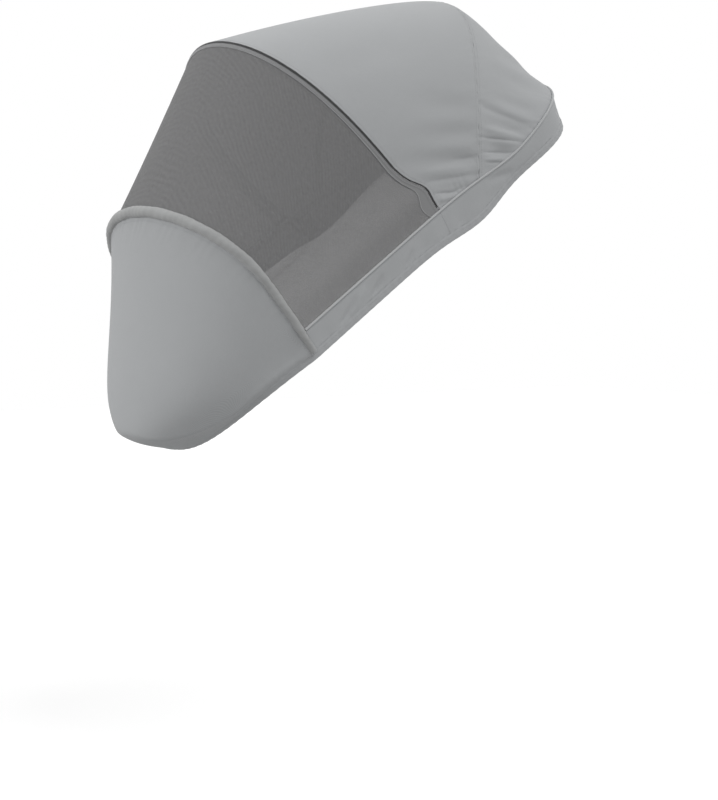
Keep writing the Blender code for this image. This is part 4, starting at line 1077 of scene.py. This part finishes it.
def makeZip():
    # the tapes' near-black is partly their own colour and partly painted shade for the shadow inside
    # the rim
    for half, surface in (("upper", topSurface), ("lower", netSurface)):
        strip = bandUnder(surface(cloth["columns"]), zipper["tapeStart"], zipper["tapeWidth"])
        tape = clothPiece(f"{half}_zip_cloth_tape", strip, cloth["tape"], "darkZipTapeAndShade")
        standIn(tape, f"{half}_zip_tape")

    # each row is a coil: across = middle + reach cos a, outward = depth sin a, along = pitch a
    full = canopyRim()
    turns = int((runAlong(full)[-1] - 2 * zipper["ends"]) / zipper["pitch"])
    steps = np.arange(turns * zipper["turnPoints"])
    along = zipper["ends"] + steps * zipper["pitch"] / zipper["turnPoints"]
    coarse = evenly(full, 1601)
    outward = carried(framesAlong(coarse, rimAcross())[0], runAlong(coarse), along)
    for half, side, start in (("upper", 1, 0.0), ("lower", -1, pi)):
        angle = steps * 2 * pi / zipper["turnPoints"] + start
        cosine, sine = np.cos(angle)[:, None], np.sin(angle)[:, None]
        across = rimAcross() * side
        line = (pointsAt(full, along) + across * (zipper["middle"] + zipper["reach"] * cosine)
                + outward * (zipper["depth"] * sine))
        rings = wireRings(line, across * cosine + outward * sine, zipper["wire"])
        standIn(sweptPiece(f"{half}_zip_coil", rings, "zipNylon"), f"{half}_zip_teeth")
    for name in ("left_zip_stop", "right_zip_stop", "zip_slider", "zip_pull_tab"):
        finishNode(name, "darkMetal")
    finishNode("front_rim_rod", "rodPlastic")


def finishNode(name, finish):
    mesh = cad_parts[name].data
    mesh.materials.clear()
    mesh.materials.append(finishes[finish])


# Frame straps

strap = {"s": 0.020, "width": 0.020, "thickness": 0.0012, "clear": 0.024, "depth": 0.026,
         "corner": 0.007, "topN": 0.040, "hinge": 0.0007, "tabLength": 0.023,
         "patch": 0.0010, "patchLength": 0.018, "patchDown": 0.002, "patchSquare": 0.86,
         "gap": 0.0003, "root": 0.0007, "skirtGap": 0.001, "startDown": 0.001}


def upright(x, start, end, count):
    # a straight run of points (x, n)
    return np.stack([np.full(count, x), np.linspace(start, end, count)], axis=1)


def quarter(x, n, start):
    # a corner's quarter circle round (x, n)
    angle = np.radians(np.linspace(start, start + 90, 17))
    return np.stack([x + strap["corner"] * np.cos(angle), n + strap["corner"] * np.sin(angle)],
                    axis=1)


def webPiece(name, path, side, body="cover"):
    # a path across the seat (x, n) carries a flat section with rounded selvedges
    path = path[np.concatenate([[True], np.linalg.norm(np.diff(path, axis=0), axis=1) > 1e-6])]
    along = unit(np.gradient(path, axis=0))
    normal = np.stack([-along[:, 1], along[:, 0]], axis=1)
    thin = strap["thickness"] / 2
    edge = strap["width"] / 2 - thin
    bend = np.linspace(-pi / 2, pi / 2, 7)
    right = np.stack([edge + thin * np.cos(bend), thin * np.sin(bend)], axis=1)
    flat = np.linspace(edge, -edge, 12)[1:-1]
    face = np.stack([flat, np.full(len(flat), thin)], axis=1)
    aside, out = np.concatenate([right, face, -right, -face]).T
    place = path[:, None] + normal[:, None] * out[:, None]
    s = np.broadcast_to(strap["s"] + aside, place.shape[:2])
    rings = np.stack([place[..., 0] * side, s, place[..., 1]], axis=-1)
    return sweptPiece(name, rings, "greyWebbing", body=body)


def patchPiece(name, x, n, side, finish, body):
    # a flat square with rounded corners, domed a little at its edges
    angle = roundAngles(64)
    square = np.maximum(np.abs(np.cos(angle)), np.abs(np.sin(angle)))
    half = strap["patchLength"] / 2
    square = square ** strap["patchSquare"]
    outline = np.stack([np.cos(angle), np.sin(angle)], axis=1) / square[:, None] * half
    outline = np.clip(outline, -half, half)
    level = strap["patch"] / 2 * np.array([-1, -0.7, 0.0, 0.7, 1])
    shrink = np.array([0.96, 0.995, 1.0, 0.995, 0.96])[:, None]
    rings = np.stack([np.broadcast_to((x + level)[:, None] * side, (5, 64)),
                      strap["s"] + outline[:, 0] * shrink, n + outline[:, 1] * shrink], axis=-1)
    return sweptPiece(name, rings, finish, body=body)


def makeStrap(label, side):
    # a loop of webbing down the skirt, round below the rail and up to the tab that closes it
    lowN = strap["topN"] - strap["depth"]
    drop = (lowN - hemHeight(strap["s"])) / (seamHeight(strap["s"]) - hemHeight(strap["s"]))
    skirtX = seat["halfWidth"] - hem["inset"] * (1 - float(drop)) - strap["skirtGap"]
    thick, gap, r = strap["thickness"], strap["gap"], strap["corner"]
    outer = skirtX - gap - thick / 2
    inner = outer - strap["clear"] - thick
    tabX = inner - (thick + 2 * strap["patch"] + 3 * gap)
    hingeN = strap["topN"] - r
    path = np.concatenate([upright(inner, hingeN - strap["startDown"], lowN + r, 9),
                           quarter(inner + r, lowN + r, 180), quarter(outer - r, lowN + r, 270),
                           quarter(outer - r, hingeN, 0), quarter(tabX + r, hingeN, 90)])
    web = webPiece(f"{label}_strap_web", path, side)
    standIn(web, f"{label}_frame_strap")
    # the tab starts lower by its own thickness, so that its root can turn under the strap's end
    top, body = hingeN - strap["hinge"], f"{label}_tab"
    path = upright(tabX, top - strap["root"], top - strap["tabLength"], 25)
    tab = webPiece(f"{label}_tab_web", path, side, body)
    standIn(tab, f"{label}_strap_tab")

    patchN = top - strap["patchDown"] - strap["patchLength"] / 2
    loopX = inner - thick / 2 - gap - strap["patch"] / 2
    for kind, x, rides in (("loop", loopX, "cover"), ("hook", loopX - strap["patch"] - gap, body)):
        patch = patchPiece(f"{label}_{kind}_tape", x, patchN, side, f"{kind}Plush", rides)
        standIn(patch, f"{label}_{kind}_patch")


# Everything is put together here

def surfaceArea(grid):
    # half the cross products of the diagonals of its squares
    first, second = grid[1:, 1:] - grid[:-1, :-1], grid[1:, :-1] - grid[:-1, 1:]
    return float(np.linalg.norm(np.cross(first, second), axis=-1).sum() / 2)


def declareSheet(piece, grid, trims, rests, held="stretched"):
    # the cut's flat size is its longest run each way, and its flat area what it covers
    flat = (float(runAlong(turned(grid))[-1].max()), float(runAlong(grid)[-1].max()))
    print(f"{piece.name}: {flat[0]:.3f} x {flat[1]:.3f} m, {surfaceArea(grid):.4f} m2")


topPanel, rearPanel = makeTop(), makeRear()
makeBinding()
print("canopy made")
netPanel = makeNet()
print("net made")
frontPanel = makeFront()
makeSleeve()
skirts = makeSkirts(makePiping())
makeHem()
print("front panel, skirt and hem made")
makeZip()
for label, side in (("left", 1), ("right", -1)):
    makeStrap(label, side)
print("zip and straps made")

declareSheet(*topPanel, ["canopy_rear_cloth", "piping_cord"])
declareSheet(*rearPanel, ["canopy_top_cloth", "piping_cord"])
declareSheet(*netPanel, ["rim_sleeve_cloth", "piping_cord"])
declareSheet(*frontPanel, ["rim_sleeve_cloth", "hem_cloth"])
for panel in skirts:
    declareSheet(*panel, ["piping_cord", "hem_cloth"], "gathered")


# Floor, light and camera

white = (1.0, 1.0, 1.0, 1.0)
studio = {"floor": -0.670, "size": 6.0, "seen": 0.86, "bounce": 0.45, "glow": 0.22,
          "ambient": 0.72, "softness": 40.0,
          "suns": {"footSun": (1.04, (-0.5, -0.85, 0.38)), "headSun": (0.85, (0.5, 0.25, 0.8))}}
camera = {"place": (1.764, -1.271, -0.0754), "azimuth": 54.62, "pitch": 3.713, "lens": 70.66}


def makeStudio():
    # a pale floor and a white world, each plainer to the camera than to the object
    mesh = bpy.data.meshes.new("floor")
    size, z = studio["size"], studio["floor"]
    mesh.from_pydata([(-size, -size, z), (size, -size, z), (size, size, z), (-size, size, z)],
                     [], [(0, 1, 2, 3)])
    newObject("floor", mesh)
    made, tree, shader = newMaterial("paleFloor", {"Roughness": 0.9, "Emission Color": white})
    seen = addNode("LightPath", {}, tree)["Is Camera Ray"]
    pale = timesPlus(seen, studio["seen"] - studio["bounce"], studio["bounce"])
    setSockets(shader, {"Base Color": pale, "Emission Strength": times(seen, studio["glow"])})
    mesh.materials.append(made)

    world = bpy.data.worlds.new("studio")
    bpy.context.scene.world = world
    world.use_nodes = True
    path = addNode("LightPath", {}, world.node_tree)
    seen = maths("MAXIMUM", path["Is Camera Ray"],
                 maths("MAXIMUM", path["Is Glossy Ray"], path["Is Transmission Ray"]))
    setSockets(world.node_tree.nodes["Background"].inputs, {
        "Color": white,
        "Strength": timesPlus(seen, 1.0 - studio["ambient"], studio["ambient"])})

    for name, (energy, place) in studio["suns"].items():
        sun = bpy.data.lights.new(name, "SUN")
        sun.energy = energy
        sun.angle = math.radians(studio["softness"])
        lamp = newObject(name, sun)
        lamp.rotation_mode = "QUATERNION"
        lamp.rotation_quaternion = Vector(place).to_track_quat("Z", "Y")


def makeCamera():
    # it looks level to the given azimuth, and down by the pitch
    eye = bpy.data.cameras.new("camera")
    eye.sensor_width = 36.0
    eye.lens = camera["lens"]
    eye.clip_start = 0.05
    view = newObject("camera", eye)
    view.location = camera["place"]
    azimuth, pitch = math.radians(camera["azimuth"]), math.radians(camera["pitch"])
    look = Vector((-math.sin(azimuth) * math.cos(pitch), math.cos(azimuth) * math.cos(pitch),
                   -math.sin(pitch)))
    view.rotation_mode = "QUATERNION"
    view.rotation_quaternion = look.to_track_quat("-Z", "Y")
    bpy.context.scene.camera = view


makeStudio()
makeCamera()
bpy.context.scene.view_settings.view_transform = "Standard"
print("studio made")
